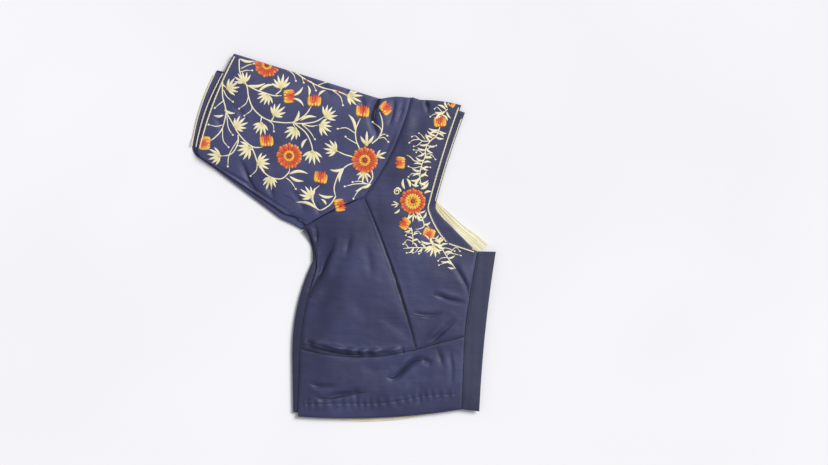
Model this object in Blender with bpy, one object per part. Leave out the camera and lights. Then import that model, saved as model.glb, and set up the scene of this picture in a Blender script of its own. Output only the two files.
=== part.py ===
"""Choli blouse folded in half down its centre back and laid flat, right front uppermost.

The cloth lies on the plane z = 0. +X runs across the front from the side seam to the hook placket,
+Y runs from the hem up to the shoulder, and +Z is up. The origin is under the middle of the folded
garment. Sizes below are in millimetres and are turned to metres when a mesh is made.
"""

import math

import bmesh
import bpy
import numpy as np
from mathutils import Vector
from mathutils.bvhtree import BVHTree

MM = 0.001

# Cloth sizes
WALL = 1.2  # one lined layer of satin
SLEEVE_WALL = 1.0
SEAM_GAP = 0.4  # across a seam, between the two panels' edges
LAYER_GAP = 0.3  # between pieces that lie on each other
CUFF_GAP = 0.8  # inside a flattened sleeve, at its folds
FOLD_DEPTH = 0.9  # how far a pressed fold rounds out past the sleeve's flat walls
CORD_WIDTH = 1.8
CORD_HEIGHT = 1.1
CORD_INSET = 2.2  # from a panel's finished edge to its applied cord
CORD_STOP = 2.5  # an applied cord ends this far short of the seam it runs up to
CORD_CLEARANCE = 0.45

# Heights of the folded stack
SHELL_EDGE = 6.6  # top of the uppermost layer at its outer edge
PUFF_HEIGHT = 3.6  # how much higher the stack is away from its edges
PUFF_REACH = 34.0  # distance from an edge at which it is that high
SLEEVE_SHARE = 0.35  # share of the puff that is inside the upper sleeve
STACK_CLEARANCE = 1.0  # the hidden layers stay this far under the front's folds
BUST = {"x": 36.0, "y": -62.0, "width": 52.0, "length": 62.0, "height": 4.2}

# Middle of the outline, in the coordinates of the landmarks
MIDDLE = np.array((-0.556, -1.554))

# Where the seams and folds meet: x, y
LANDMARKS = {
    "hem_side": (-53.5, -208.5),
    "hem_front": (135.0, -200.0),
    "waist_side": (-50.5, -130.0),
    "waist_princess": (82.5, -131.0),
    "waist_front": (138.0, -116.0),
    "side_bust": (-31.5, -38.0),
    "underarm": (-44.0, 10.0),
    "armhole_notch": (23.0, 43.0),
    "shoulder_tip": (77.5, 158.5),
    "sleeve_head": (41.0, 157.5),
    "shoulder_dip": (87.0, 155.2),
    "shoulder_neck": (134.5, 149.0),
    "neck_turn": (98.0, 30.5),
    "neck_corner": (119.5, -7.5),
    "neck_front": (153.0, -18.5),
    "placket_top": (174.0, -19.0),
    "placket_hem": (155.0, -202.5),
    "cuff_top": (-127.0, 209.5),
    "cuff_low": (-169.5, 99.0),
    "cuff_heel": (-165.0, 88.5),
    "sleeve_underside": (-68.0, 23.0),
    "under_hem_side": (-59.5, -204.0),
    "under_hem_front": (151.5, -197.0),
    "under_waist_side": (-60.5, -134.5),
    "under_side_top": (-37.0, -30.0),
    "under_underarm": (-49.0, 5.0),
    "under_placket_top": (170.0, -25.0),
    "under_neck_corner": (112.5, -22.0),
    "under_neck_turn": (88.0, 31.0),
    "under_shoulder_neck": (122.0, 147.0),
    "left_cuff_top": (-147.0, 190.5),
    "left_cuff_low": (-176.0, 101.0),
    "left_cuff_heel": (-164.0, 86.0),
    "left_sleeve_underside": (-74.0, 17.5),
    "left_sleeve_head": (36.0, 155.0),
    "back_neck_front_in": (146.0, -20.5),
    "back_neck_corner_in": (116.5, -17.0),
    "back_neck_turn_in": (92.5, 31.0),
    "back_neck_top_in": (125.5, 145.0),
    "back_neck_front_out": (147.0, -14.5),
    "back_neck_corner_out": (108.5, 24.0),
    "back_neck_turn_out": (105.0, 36.0),
    "back_neck_top_out": (138.5, 140.5),
    "facing_front_in": (140.0, -19.0),
    "facing_front_out": (164.5, -16.0),
    "facing_top_in": (104.0, 36.5),
    "facing_top_out": (108.5, 40.5),
    "lining_side_in": (-18.0, -207.6),
    "lining_front_in": (99.0, -203.8),
    "lining_side_out": (-18.0, -211.8),
    "lining_front_out": (99.0, -206.4),
}

# Each seam is a circular arc: from, to, how far its middle stands left of the straight line, facets
SEAMS = {
    "waist_side_part": ("waist_side", "waist_princess", -8.5, 8),
    "waist_front_part": ("waist_princess", "waist_front", 0.6, 6),
    "princess": ("waist_princess", "armhole_notch", -3.5, 12),
    "armhole_low": ("underarm", "armhole_notch", 2.0, 8),
    "armhole_high": ("armhole_notch", "shoulder_tip", -7.0, 8),
    "side_low": ("waist_side", "side_bust", 3.0, 7),
    "side_high": ("side_bust", "underarm", -3.3, 5),
    "side_band": ("hem_side", "waist_side", 0.0, 5),
    "hem": ("hem_side", "hem_front", -5.5, 14),
    "placket_band": ("hem_front", "waist_front", 0.0, 5),
    "placket_front": ("waist_front", "neck_front", 0.8, 5),
    "placket_hem_line": ("hem_front", "placket_hem", 0.0, 2),
    "placket_edge": ("placket_hem", "placket_top", 2.6, 10),
    "placket_top_line": ("neck_front", "placket_top", 0.0, 2),
    "neck_low": ("neck_front", "neck_corner", 0.0, 2),
    "neck_mid": ("neck_corner", "neck_turn", 2.4, 4),
    "neck_high": ("neck_turn", "shoulder_neck", 1.6, 9),
    "shoulder_cap": ("shoulder_tip", "shoulder_dip", 0.0, 2),
    "shoulder_slope": ("shoulder_dip", "shoulder_neck", 1.6, 4),
    "sleeve_under_low": ("cuff_heel", "sleeve_underside", 0.0, 7),
    "sleeve_under_high": ("sleeve_underside", "underarm", 2.5, 2),
    "sleeve_over_low": ("cuff_top", "sleeve_head", 0.0, 7),
    "sleeve_over_high": ("sleeve_head", "shoulder_tip", 2.0, 2),
    "cuff_corner": ("cuff_heel", "cuff_low", 1.5, 2),
    "cuff": ("cuff_low", "cuff_top", 4.0, 14),
    "left_under_low": ("left_cuff_heel", "left_sleeve_underside", 0.0, 7),
    "left_under_high": ("left_sleeve_underside", "under_underarm", 0.5, 2),
    "left_over_low": ("left_cuff_top", "left_sleeve_head", 0.0, 7),
    "left_over_high": ("left_sleeve_head", "shoulder_tip", 1.0, 2),
    "left_cuff_corner": ("left_cuff_heel", "left_cuff_low", 3.0, 3),
    "left_cuff": ("left_cuff_low", "left_cuff_top", 4.5, 13),
    "under_armhole_low": ("under_underarm", "armhole_notch", 0.0, 8),
    "under_hem": ("under_hem_side", "under_hem_front", -5.0, 13),
    "under_side_low": ("under_hem_side", "under_waist_side", 0.0, 5),
    "under_side_mid": ("under_waist_side", "under_side_top", 6.0, 7),
    "under_side_high": ("under_side_top", "under_underarm", -4.0, 4),
    "under_placket": ("under_hem_front", "under_placket_top", 0.0, 8),
    "under_neck_low": ("under_placket_top", "under_neck_corner", 0.0, 2),
    "under_neck_mid": ("under_neck_corner", "under_neck_turn", 3.0, 14),
    "under_neck_high": ("under_neck_turn", "under_shoulder_neck", 0.0, 8),
    "under_shoulder_cap": ("shoulder_tip", "shoulder_dip", 0.0, 2),
    "under_shoulder_slope": ("shoulder_dip", "under_shoulder_neck", 0.0, 11),
    "back_neck_in_low": ("back_neck_front_in", "back_neck_corner_in", 0.0, 3),
    "back_neck_in_mid": ("back_neck_corner_in", "back_neck_turn_in", 3.0, 5),
    "back_neck_in_high": ("back_neck_turn_in", "back_neck_top_in", 2.0, 8),
    "back_neck_out_low": ("back_neck_front_out", "back_neck_corner_out", 0.0, 5),
    "back_neck_out_mid": ("back_neck_corner_out", "back_neck_turn_out", 1.5, 3),
    "back_neck_out_high": ("back_neck_turn_out", "back_neck_top_out", 1.5, 8),
    "back_neck_foot": ("back_neck_front_in", "back_neck_front_out", 0.0, 2),
    "back_neck_head": ("back_neck_top_in", "back_neck_top_out", 0.0, 2),
    "facing_in": ("facing_front_in", "facing_top_in", 1.5, 6),
    "facing_out": ("facing_front_out", "facing_top_out", 0.0, 6),
    "facing_foot": ("facing_front_in", "facing_front_out", 0.0, 2),
    "facing_head": ("facing_top_in", "facing_top_out", 0.0, 2),
    "lining_in": ("lining_side_in", "lining_front_in", -1.2, 8),
    "lining_out": ("lining_side_out", "lining_front_out", -2.0, 8),
    "lining_side": ("lining_side_in", "lining_side_out", 0.0, 1),
    "lining_front": ("lining_front_in", "lining_front_out", 0.0, 1),
}

# The largest folds of the front: from x, y, to x, y, half width, height (a trough is negative)
FOLDS = {
    "princess_sink": ((72.0, -96.0), (30.0, 30.0), 8.0, -1.4),
    "cup_pleat": ((92.0, -128.0), (122.0, -92.0), 7.0, 1.8),
    "cup_pleat_shadow": ((80.0, -122.0), (108.0, -94.0), 6.0, -1.2),
    "band_sag": ((46.0, -158.0), (96.0, -137.0), 8.0, -1.8),
    "side_drag": ((-22.0, -66.0), (4.0, 2.0), 9.0, -1.6),
    "side_swell": ((-4.0, -70.0), (16.0, 4.0), 10.0, 1.0),
    "placket_fold": ((121.0, -34.0), (144.0, -72.0), 6.0, 1.2),
}

COLOURS = {  # base colour, roughness
    "navy_satin": ((0.040, 0.043, 0.088), 0.42),
    "navy_twill": ((0.032, 0.034, 0.062), 0.60),
    "cream_cord": ((0.78, 0.72, 0.50), 0.55),
    "cream_lining": ((0.82, 0.78, 0.60), 0.70),
}

# The body of each panel as four edges, each a chain of seams (a minus sign runs one backwards)
PANELS = {
    "front_side_panel": {
        "foot": ["waist_side_part"],
        "front": ["princess"],
        "head": ["armhole_low"],
        "back": ["side_low", "side_high"],
        "colour": "navy_satin",
    },
    "front_centre_panel": {
        "foot": ["waist_front_part"],
        "front": ["placket_front", "neck_low", "neck_mid", "neck_high"],
        "head": ["shoulder_cap", "shoulder_slope"],
        "back": ["princess", "armhole_high"],
        "colour": "navy_satin",
    },
    "front_waist_band": {
        "foot": ["hem"],
        "front": ["placket_band"],
        "head": ["waist_side_part", "waist_front_part"],
        "back": ["side_band"],
        "colour": "navy_satin",
    },
    "hook_placket": {
        "foot": ["placket_hem_line"],
        "front": ["placket_edge"],
        "head": ["placket_top_line"],
        "back": ["placket_band", "placket_front"],
        "colour": "navy_twill",
    },
}

# Profile of the stack's side, from the top down: outward offset in mm, share of the height there
LAYERED_RIM = (
    (0.7, 0.93),
    (1.0, 0.78),
    (-0.9, 0.69),
    (1.0, 0.60),
    (1.0, 0.44),
    (-0.9, 0.36),
    (1.0, 0.28),
    (1.0, 0.08),
)
RIM_SWELL = 1.2  # the stack's outline is drawn in by this, which leaves room for its rim
FOOT_OFFSET = 0.3  # the flat underside's edge, outward from that outline
STRAIGHT_BOW = 0.01  # an edge bowed by less than this is drawn straight
LEAST_SPREAD = 0.5  # holds back how far a sharp corner moves when its outline is drawn in
FOLD_END = 0.15  # share of a half wave that is left off at each end of a fold
INNER_RIM = 0.4  # share of the outer rim by which a sleeve's hollow bulges at its folds
LEFT_PUFF_SHARE = 0.8  # of the padding between the layers, what lifts the left sleeve
STACK_PUFF_SHARE = 0.75  # the same for the folded back and left front
NECK_FOOT_LEVEL, NECK_HEAD_LEVEL = 3.9, 3.1  # top of the back neckline, at its foot and its head
# A cord's section: offset across it and rise, as shares of half its width and of its height
CORD_SECTION = ((-1.0, 0.0), (-0.8, 0.6), (0.0, 1.0), (0.8, 0.6), (1.0, 0.0))


def spot(name):
    """A landmark, in the frame whose origin is under the middle of the garment."""
    return np.array(LANDMARKS[name]) - MIDDLE


def arc(start, end, bow, steps):
    """Points along a circular arc whose middle stands bow to the left of the chord."""
    chord = end - start
    half = np.linalg.norm(chord) / 2
    ahead = chord / (2 * half)
    left = np.array((-ahead[1], ahead[0]))
    share = np.linspace(-1, 1, steps + 1)[:, None]
    middle = (start + end) / 2
    if abs(bow) < STRAIGHT_BOW:
        return middle + share * half * ahead
    opening = 2 * math.atan(bow / half)
    radius = half / math.sin(opening)
    turn = share * opening
    return middle + ahead * radius * np.sin(turn) + left * radius * (np.cos(turn) - math.cos(opening))


def seam(name):
    start, end, bow, steps = SEAMS[name.lstrip("-")]
    points = arc(spot(start), spot(end), bow, steps)
    return points[::-1] if name.startswith("-") else points


def chain(names):
    """The points of several seams joined end to end, with each shared point once."""
    points = seam(names[0])
    for name in names[1:]:
        points = np.concatenate([points, seam(name)[1:]])
    return points


def patch(foot, front, head, back, inset=0.0):
    """A Coons patch: a grid of points between four edges moved in by inset, rows from foot to head."""
    loop = np.concatenate([foot[:-1], front[:-1], head[:0:-1], back[:0:-1]])
    loop = loop + inset * mitres(loop)
    loop = np.concatenate([loop, loop[:1]])
    corners = np.cumsum([0, len(foot) - 1, len(front) - 1, len(head) - 1, len(back) - 1])
    foot, front, head, back = (loop[a : b + 1] for a, b in zip(corners, corners[1:]))
    head, back = head[::-1], back[::-1]
    u = np.linspace(0, 1, len(foot))[None, :, None]
    v = np.linspace(0, 1, len(back))[:, None, None]
    along = (1 - u) * back[:, None] + u * front[:, None]
    across = (1 - v) * foot[None] + v * head[None]
    corners = (1 - u) * (1 - v) * foot[0] + u * (1 - v) * foot[-1] + (1 - u) * v * head[0] + u * v * head[-1]
    return along + across - corners


def rim_cells(rows, columns):
    """Row and column numbers round the edge of a grid, in order."""
    foot = [(0, c) for c in range(columns - 1)]
    front = [(r, columns - 1) for r in range(rows - 1)]
    head = [(rows - 1, c) for c in range(columns - 1, 0, -1)]
    back = [(r, 0) for r in range(rows - 1, 0, -1)]
    return foot + front + head + back


def mitres(loop):
    """For each point of a closed outline, the inward step that moves both its edges in by 1."""
    ahead = np.roll(loop, -1, axis=0) - loop
    area = np.sum(loop[:, 0] * np.roll(loop[:, 1], -1) - loop[:, 1] * np.roll(loop[:, 0], -1))
    inward = np.stack([-ahead[:, 1], ahead[:, 0]], axis=1) * np.sign(area)
    inward /= np.linalg.norm(inward, axis=1)[:, None]
    before = np.roll(inward, 1, axis=0)
    spread = 1 + np.sum(inward * before, axis=1)
    return (inward + before) / np.maximum(spread, LEAST_SPREAD)[:, None]


def shrunk(grid, inset):
    """The grid with its rim moved in, which leaves the gap along a seam."""
    cells = rim_cells(*grid.shape[:2])
    rows, columns = zip(*cells)
    moved = grid.copy()
    moved[rows, columns] += inset * mitres(grid[rows, columns])
    return moved


def outline():
    """The edge of everything that lies uppermost."""
    round_it = chain(["hem", "placket_hem_line", "placket_edge"])
    for name in (
        "-placket_top_line", "neck_low", "neck_mid", "neck_high", "-shoulder_slope", "-shoulder_cap",
        "-sleeve_over_high", "-sleeve_over_low", "-cuff", "-cuff_corner",
        "sleeve_under_low", "sleeve_under_high", "-side_high", "-side_low", "-side_band",
    ):
        round_it = np.concatenate([round_it, seam(name)[1:]])
    return round_it[:-1]


def line_distance(points, start, end):
    """How far each point is from a straight line between two ends, and how far along it."""
    along = end - start
    share = np.clip(((points - start) @ along) / (along @ along), 0, 1)
    return np.linalg.norm(points - start - share[..., None] * along, axis=-1), share


def inside(points, loop):
    """Whether each point is inside a closed outline, by counting crossings."""
    found = np.zeros(points.shape[:-1], bool)
    for (x0, y0), (x1, y1) in zip(loop, np.roll(loop, -1, axis=0)):
        between = (y0 > points[..., 1]) != (y1 > points[..., 1])
        height = y1 - y0 if y1 != y0 else 1.0
        found ^= between & (points[..., 0] < x0 + (points[..., 1] - y0) * (x1 - x0) / height)
    return found


OUTLINE = outline()


def puff(points):
    """How much the stack swells at each point, from 0 at the outline to PUFF_HEIGHT."""
    edges = zip(OUTLINE, np.roll(OUTLINE, -1, axis=0))
    nearest = np.min([line_distance(points, start, end)[0] for start, end in edges], axis=0)
    share = np.clip(nearest / PUFF_REACH, 0, 1) * inside(points, OUTLINE)
    return PUFF_HEIGHT * share * share * (3 - 2 * share)


def bust(points):
    """The cup that the princess seam shapes, flattened on itself."""
    x = (points[..., 0] - BUST["x"]) / BUST["width"]
    y = (points[..., 1] - BUST["y"]) / BUST["length"]
    return BUST["height"] * np.exp(-(x * x + y * y)) * (puff(points) / PUFF_HEIGHT)


def folds(points):
    """The sum of the largest soft folds, each a ridge or trough that fades at its ends."""
    height = np.zeros(points.shape[:-1])
    for start, end, half_width, rise in FOLDS.values():
        away, share = line_distance(points, np.array(start) - MIDDLE, np.array(end) - MIDDLE)
        wave = np.sin(np.pi * (FOLD_END + (1 - 2 * FOLD_END) * share))
        height += rise * np.exp(-((away / half_width) ** 2)) * wave
    return height * (puff(points) / PUFF_HEIGHT)


def shell_top(points):
    """The height of the uppermost cloth."""
    return SHELL_EDGE + puff(points) + bust(points) + folds(points)


def material(name):
    found = bpy.data.materials.get(name)
    if found:
        return found
    made = bpy.data.materials.new(name)
    made.use_nodes = True
    shader = made.node_tree.nodes["Principled BSDF"]
    colour, roughness = COLOURS[name]
    shader.inputs["Base Color"].default_value = (*colour, 1.0)
    shader.inputs["Roughness"].default_value = roughness
    shader.inputs["Metallic"].default_value = 0.0
    return made


def finish(bm, name, colour):
    """Turns a closed bmesh in millimetres into a named object."""
    bmesh.ops.recalc_face_normals(bm, faces=bm.faces)
    bmesh.ops.scale(bm, vec=Vector((MM, MM, MM)), verts=bm.verts)
    mesh = bpy.data.meshes.new(name)
    bm.to_mesh(mesh)
    bm.free()
    mesh.materials.append(material(colour))
    mesh.shade_smooth()
    mesh.set_sharp_from_angle(angle=math.radians(50))
    made = bpy.data.objects.new(name, mesh)
    bpy.context.scene.collection.objects.link(made)
    return made


def lofted(bm, first, second, closed=True):
    """Quads between two rows of vertices."""
    count = len(first) if closed else len(first) - 1
    for i in range(count):
        j = (i + 1) % len(first)
        bm.faces.new((first[i], first[j], second[j], second[i]))


def sheet_faces(bm, grid, heights):
    """One layer of a grid, as rows of vertices joined by quads."""
    rows = []
    for points, levels in zip(grid, heights):
        rows.append([bm.verts.new((x, y, z)) for (x, y), z in zip(points, levels)])
    for first, second in zip(rows, rows[1:]):
        lofted(bm, first, second, closed=False)
    return rows


def rim_of(rows):
    return [rows[r][c] for r, c in rim_cells(len(rows), len(rows[0]))]


def cloth_panel(name, grid, top, wall, colour):
    """A wall of cloth under a grid of heights, its edge cut square."""
    bm = bmesh.new()
    upper = sheet_faces(bm, grid, top)
    lower = sheet_faces(bm, grid, top - wall)
    lofted(bm, rim_of(upper), rim_of(lower))
    return finish(bm, name, colour)


def layered_stack(name, grid, top, colour):
    """The hidden layers as one solid: flat below, following the folds above, grooved at its side."""
    bm = bmesh.new()
    ring = rim_of(sheet_faces(bm, grid, top))
    cells = rim_cells(*grid.shape[:2])
    edge = np.array([grid[cell] for cell in cells])
    level = np.array([top[cell] for cell in cells])
    inward = mitres(edge)
    for offset, share in LAYERED_RIM:
        places = edge - offset * inward
        lower = [bm.verts.new((x, y, z * share)) for (x, y), z in zip(places, level)]
        lofted(bm, ring, lower)
        ring = lower
    underside = sheet_faces(bm, shrunk(grid, -FOOT_OFFSET), np.zeros_like(top))
    lofted(bm, ring, rim_of(underside))
    return finish(bm, name, colour)


def flat_sleeve(name, grid, top, bottom, colour):
    """A sleeve pressed flat: two walls joined along its folds, open at the cuff and the armhole."""
    bm = bmesh.new()
    outer_rings, inner_rings = [], []
    for points, high, low in zip(grid, top, bottom):
        middle = (high + low) / 2
        fold = points[0] - points[1]
        outward = FOLD_DEPTH * fold / np.linalg.norm(fold)
        ring = [(*p, z) for p, z in zip(points, high)]
        ring.append((*(points[-1] - outward), middle[-1]))
        ring += [(*p, z) for p, z in zip(points[::-1], low[::-1])]
        ring.append((*(points[0] + outward), middle[0]))
        outer_rings.append([bm.verts.new(p) for p in ring])
        inner = points.copy()
        inner[0] -= outward
        inner[-1] += outward
        ceiling, floor = high - SLEEVE_WALL, low + SLEEVE_WALL
        ring = [(*p, z) for p, z in zip(inner, ceiling)]
        ring.append((*(inner[-1] - INNER_RIM * outward), middle[-1]))
        ring += [(*p, z) for p, z in zip(inner[::-1], floor[::-1])]
        ring.append((*(inner[0] + INNER_RIM * outward), middle[0]))
        inner_rings.append([bm.verts.new(p) for p in ring])
    for rings in (outer_rings, inner_rings):
        for first, second in zip(rings, rings[1:]):
            lofted(bm, first, second)
    lofted(bm, outer_rings[0], inner_rings[0])
    lofted(bm, outer_rings[-1], inner_rings[-1])
    return finish(bm, name, colour)


def applied_cord(name, path, base, colour):
    """A cord sewn on a panel: its section is half round, its underside clear of that panel."""
    tree = BVHTree.FromPolygons(
        [v.co / MM for v in base.data.vertices], [tuple(p.vertices) for p in base.data.polygons]
    )
    ahead = np.gradient(path, axis=0)
    ahead /= np.linalg.norm(ahead, axis=1)[:, None]
    aside = np.stack([-ahead[:, 1], ahead[:, 0]], axis=1) * CORD_WIDTH / 2
    bm = bmesh.new()
    rings = []
    for place, out in zip(path, aside):
        levels = []
        for side in (-1, 0, 1):
            above = Vector((*(place + side * out), 100.0))
            hit = tree.ray_cast(above, Vector((0, 0, -1)))[0]
            if hit is not None:
                levels.append(hit.z)
        foot = max(levels) + CORD_CLEARANCE
        rings.append(
            [bm.verts.new((*(place + side * out), foot + rise * CORD_HEIGHT)) for side, rise in CORD_SECTION]
        )
    for first, second in zip(rings, rings[1:]):
        lofted(bm, first, second)
    bm.faces.new(rings[0])
    bm.faces.new(rings[-1])
    return finish(bm, name, colour)


def beside(path, inset):
    """A path moved to its left by inset, with its ends drawn in by CORD_STOP."""
    ahead = np.gradient(path, axis=0)
    ahead /= np.linalg.norm(ahead, axis=1)[:, None]
    moved = path + inset * np.stack([-ahead[:, 1], ahead[:, 0]], axis=1)
    moved[0] += CORD_STOP * ahead[0]
    moved[-1] -= CORD_STOP * ahead[-1]
    return moved


def make_front():
    """The right front: two princess-cut panels, the band under the bust and the hook placket."""
    made = {}
    for name, edges in PANELS.items():
        sides = [chain(edges[side]) for side in ("foot", "front", "head", "back")]
        grid = patch(*sides, inset=SEAM_GAP / 2)
        made[name] = cloth_panel(name, grid, shell_top(grid), WALL, edges["colour"])
    return made


def make_sleeves():
    """The right sleeve over the left one, both pressed flat with their cuffs open."""
    right = patch(
        chain(["cuff_corner", "cuff"]),
        chain(["sleeve_over_low", "sleeve_over_high"]),
        chain(["armhole_low", "armhole_high"]),
        chain(["sleeve_under_low", "sleeve_under_high"]),
        inset=SEAM_GAP / 2 + FOLD_DEPTH,
    )
    top = shell_top(right)
    thickness = 2 * SLEEVE_WALL + CUFF_GAP + SLEEVE_SHARE * puff(right)
    sleeve = flat_sleeve("right_sleeve", right, top, top - thickness, "navy_satin")
    left = patch(
        chain(["left_cuff_corner", "left_cuff"]),
        chain(["left_over_low", "left_over_high"]),
        chain(["under_armhole_low", "armhole_high"]),
        chain(["left_under_low", "left_under_high"]),
        inset=SEAM_GAP / 2 + FOLD_DEPTH,
    )
    lift = (1 - SLEEVE_SHARE) * puff(left) * LEFT_PUFF_SHARE
    height = SHELL_EDGE - 2 * SLEEVE_WALL - CUFF_GAP - 2 * LAYER_GAP + lift
    under = flat_sleeve("left_sleeve", left, height, np.zeros_like(height), "navy_satin")
    return sleeve, under


def make_stack():
    """The back and the left front, folded under the right front."""
    grid = patch(
        chain(["under_hem"]),
        chain(["under_placket", "under_neck_low", "under_neck_mid", "under_neck_high"]),
        chain(["under_shoulder_cap", "under_shoulder_slope"]),
        chain(["under_side_low", "under_side_mid", "under_side_high", "under_armhole_low", "armhole_high"]),
        inset=SEAM_GAP / 2 + RIM_SWELL,
    )
    top = SHELL_EDGE - WALL - LAYER_GAP + STACK_PUFF_SHARE * (puff(grid) + bust(grid))
    top = np.minimum(top, shell_top(grid) - WALL - STACK_CLEARANCE)
    return layered_stack("folded_back_and_left_front", grid, top, "navy_satin")


def make_neck_layers():
    """What shows through the open neck: the back's neckline over its cream facing."""
    grid = patch(
        chain(["back_neck_foot"]),
        chain(["back_neck_out_low", "back_neck_out_mid", "back_neck_out_high"]),
        chain(["back_neck_head"]),
        chain(["back_neck_in_low", "back_neck_in_mid", "back_neck_in_high"]),
    )
    fall = np.linspace(NECK_FOOT_LEVEL, NECK_HEAD_LEVEL, grid.shape[1])[None, :] * np.ones(grid.shape[:2])
    back_neck = cloth_panel("back_neck_panel", grid, fall, WALL, "navy_satin")
    band = patch(
        chain(["facing_foot"]), chain(["facing_out"]), chain(["facing_head"]), chain(["facing_in"])
    )
    cloth_panel("cream_neck_facing", band, np.full(band.shape[:2], WALL), WALL, "cream_lining")
    return back_neck


def make_lining():
    """The edge of the cotton lining, just past the hem."""
    strip = patch(
        chain(["lining_in"]), chain(["lining_front"]), chain(["lining_out"]), chain(["lining_side"])
    )
    cloth_panel("hem_lining", strip, np.full(strip.shape[:2], WALL), WALL, "cream_lining")


def make_cords(front, right_sleeve, left_sleeve, back_neck):
    """Cream cords sewn along the finished edges."""
    neck = chain(["neck_mid", "neck_high"])
    applied_cord("front_neck_cord", beside(neck, CORD_INSET), front["front_centre_panel"], "cream_cord")
    low = beside(chain(["neck_low"]), CORD_INSET)
    applied_cord("front_neck_low_cord", low, front["front_centre_panel"], "cream_cord")
    cuff = beside(chain(["-cuff"]), CORD_INSET)
    applied_cord("right_cuff_cord", cuff, right_sleeve, "cream_cord")
    cuff = beside(chain(["-left_cuff"]), CORD_INSET)
    applied_cord("left_cuff_cord", cuff, left_sleeve, "cream_cord")
    neck = beside(chain(["back_neck_out_high"]), CORD_INSET)
    applied_cord("back_neck_cord", neck, back_neck, "cream_cord")


def main():
    for old in list(bpy.data.objects):
        bpy.data.objects.remove(old)
    front = make_front()
    right_sleeve, left_sleeve = make_sleeves()
    make_stack()
    back_neck = make_neck_layers()
    make_lining()
    make_cords(front, right_sleeve, left_sleeve, back_neck)


main()
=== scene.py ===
"""Looks of an embroidered choli blouse, folded in half down its centre back and laid flat.

Navy satin panels, a twill hook placket, twisted cream cords and silk crewel work are made over the
fixed frame. Sizes in tables are millimetres in the frame's axes: +X towards the placket, +Y towards
the shoulder, +Z up.
"""

import math

import bmesh
import bpy
import numpy as np
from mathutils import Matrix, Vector, noise
from mathutils.bvhtree import BVHTree
from mathutils.kdtree import KDTree


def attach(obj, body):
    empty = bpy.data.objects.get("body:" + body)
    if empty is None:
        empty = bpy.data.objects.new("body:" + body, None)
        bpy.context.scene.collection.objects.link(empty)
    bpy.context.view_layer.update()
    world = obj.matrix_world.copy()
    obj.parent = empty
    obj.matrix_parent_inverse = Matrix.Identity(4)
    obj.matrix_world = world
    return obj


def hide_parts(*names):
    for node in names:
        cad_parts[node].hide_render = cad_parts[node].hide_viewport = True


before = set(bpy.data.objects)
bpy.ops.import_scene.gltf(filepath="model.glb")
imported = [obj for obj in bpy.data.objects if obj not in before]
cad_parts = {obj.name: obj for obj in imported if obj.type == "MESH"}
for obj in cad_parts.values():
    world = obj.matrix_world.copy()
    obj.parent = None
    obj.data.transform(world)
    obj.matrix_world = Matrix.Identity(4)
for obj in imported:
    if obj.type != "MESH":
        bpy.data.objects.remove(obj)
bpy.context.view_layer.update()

MM = 0.001
WAVE_SCALE = 0.314  # a wave texture's scale for one band in each unit of length

bl_info = {
    "name": "Folded choli blouse",
    "version": (1, 0, 0),
    "blender": (4, 5, 0),
    "location": "View3D > Sidebar > Choli",
    "description": "Satin panels, cords and silk embroidery over the blouse's frame",
    "category": "Object",
}

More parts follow.
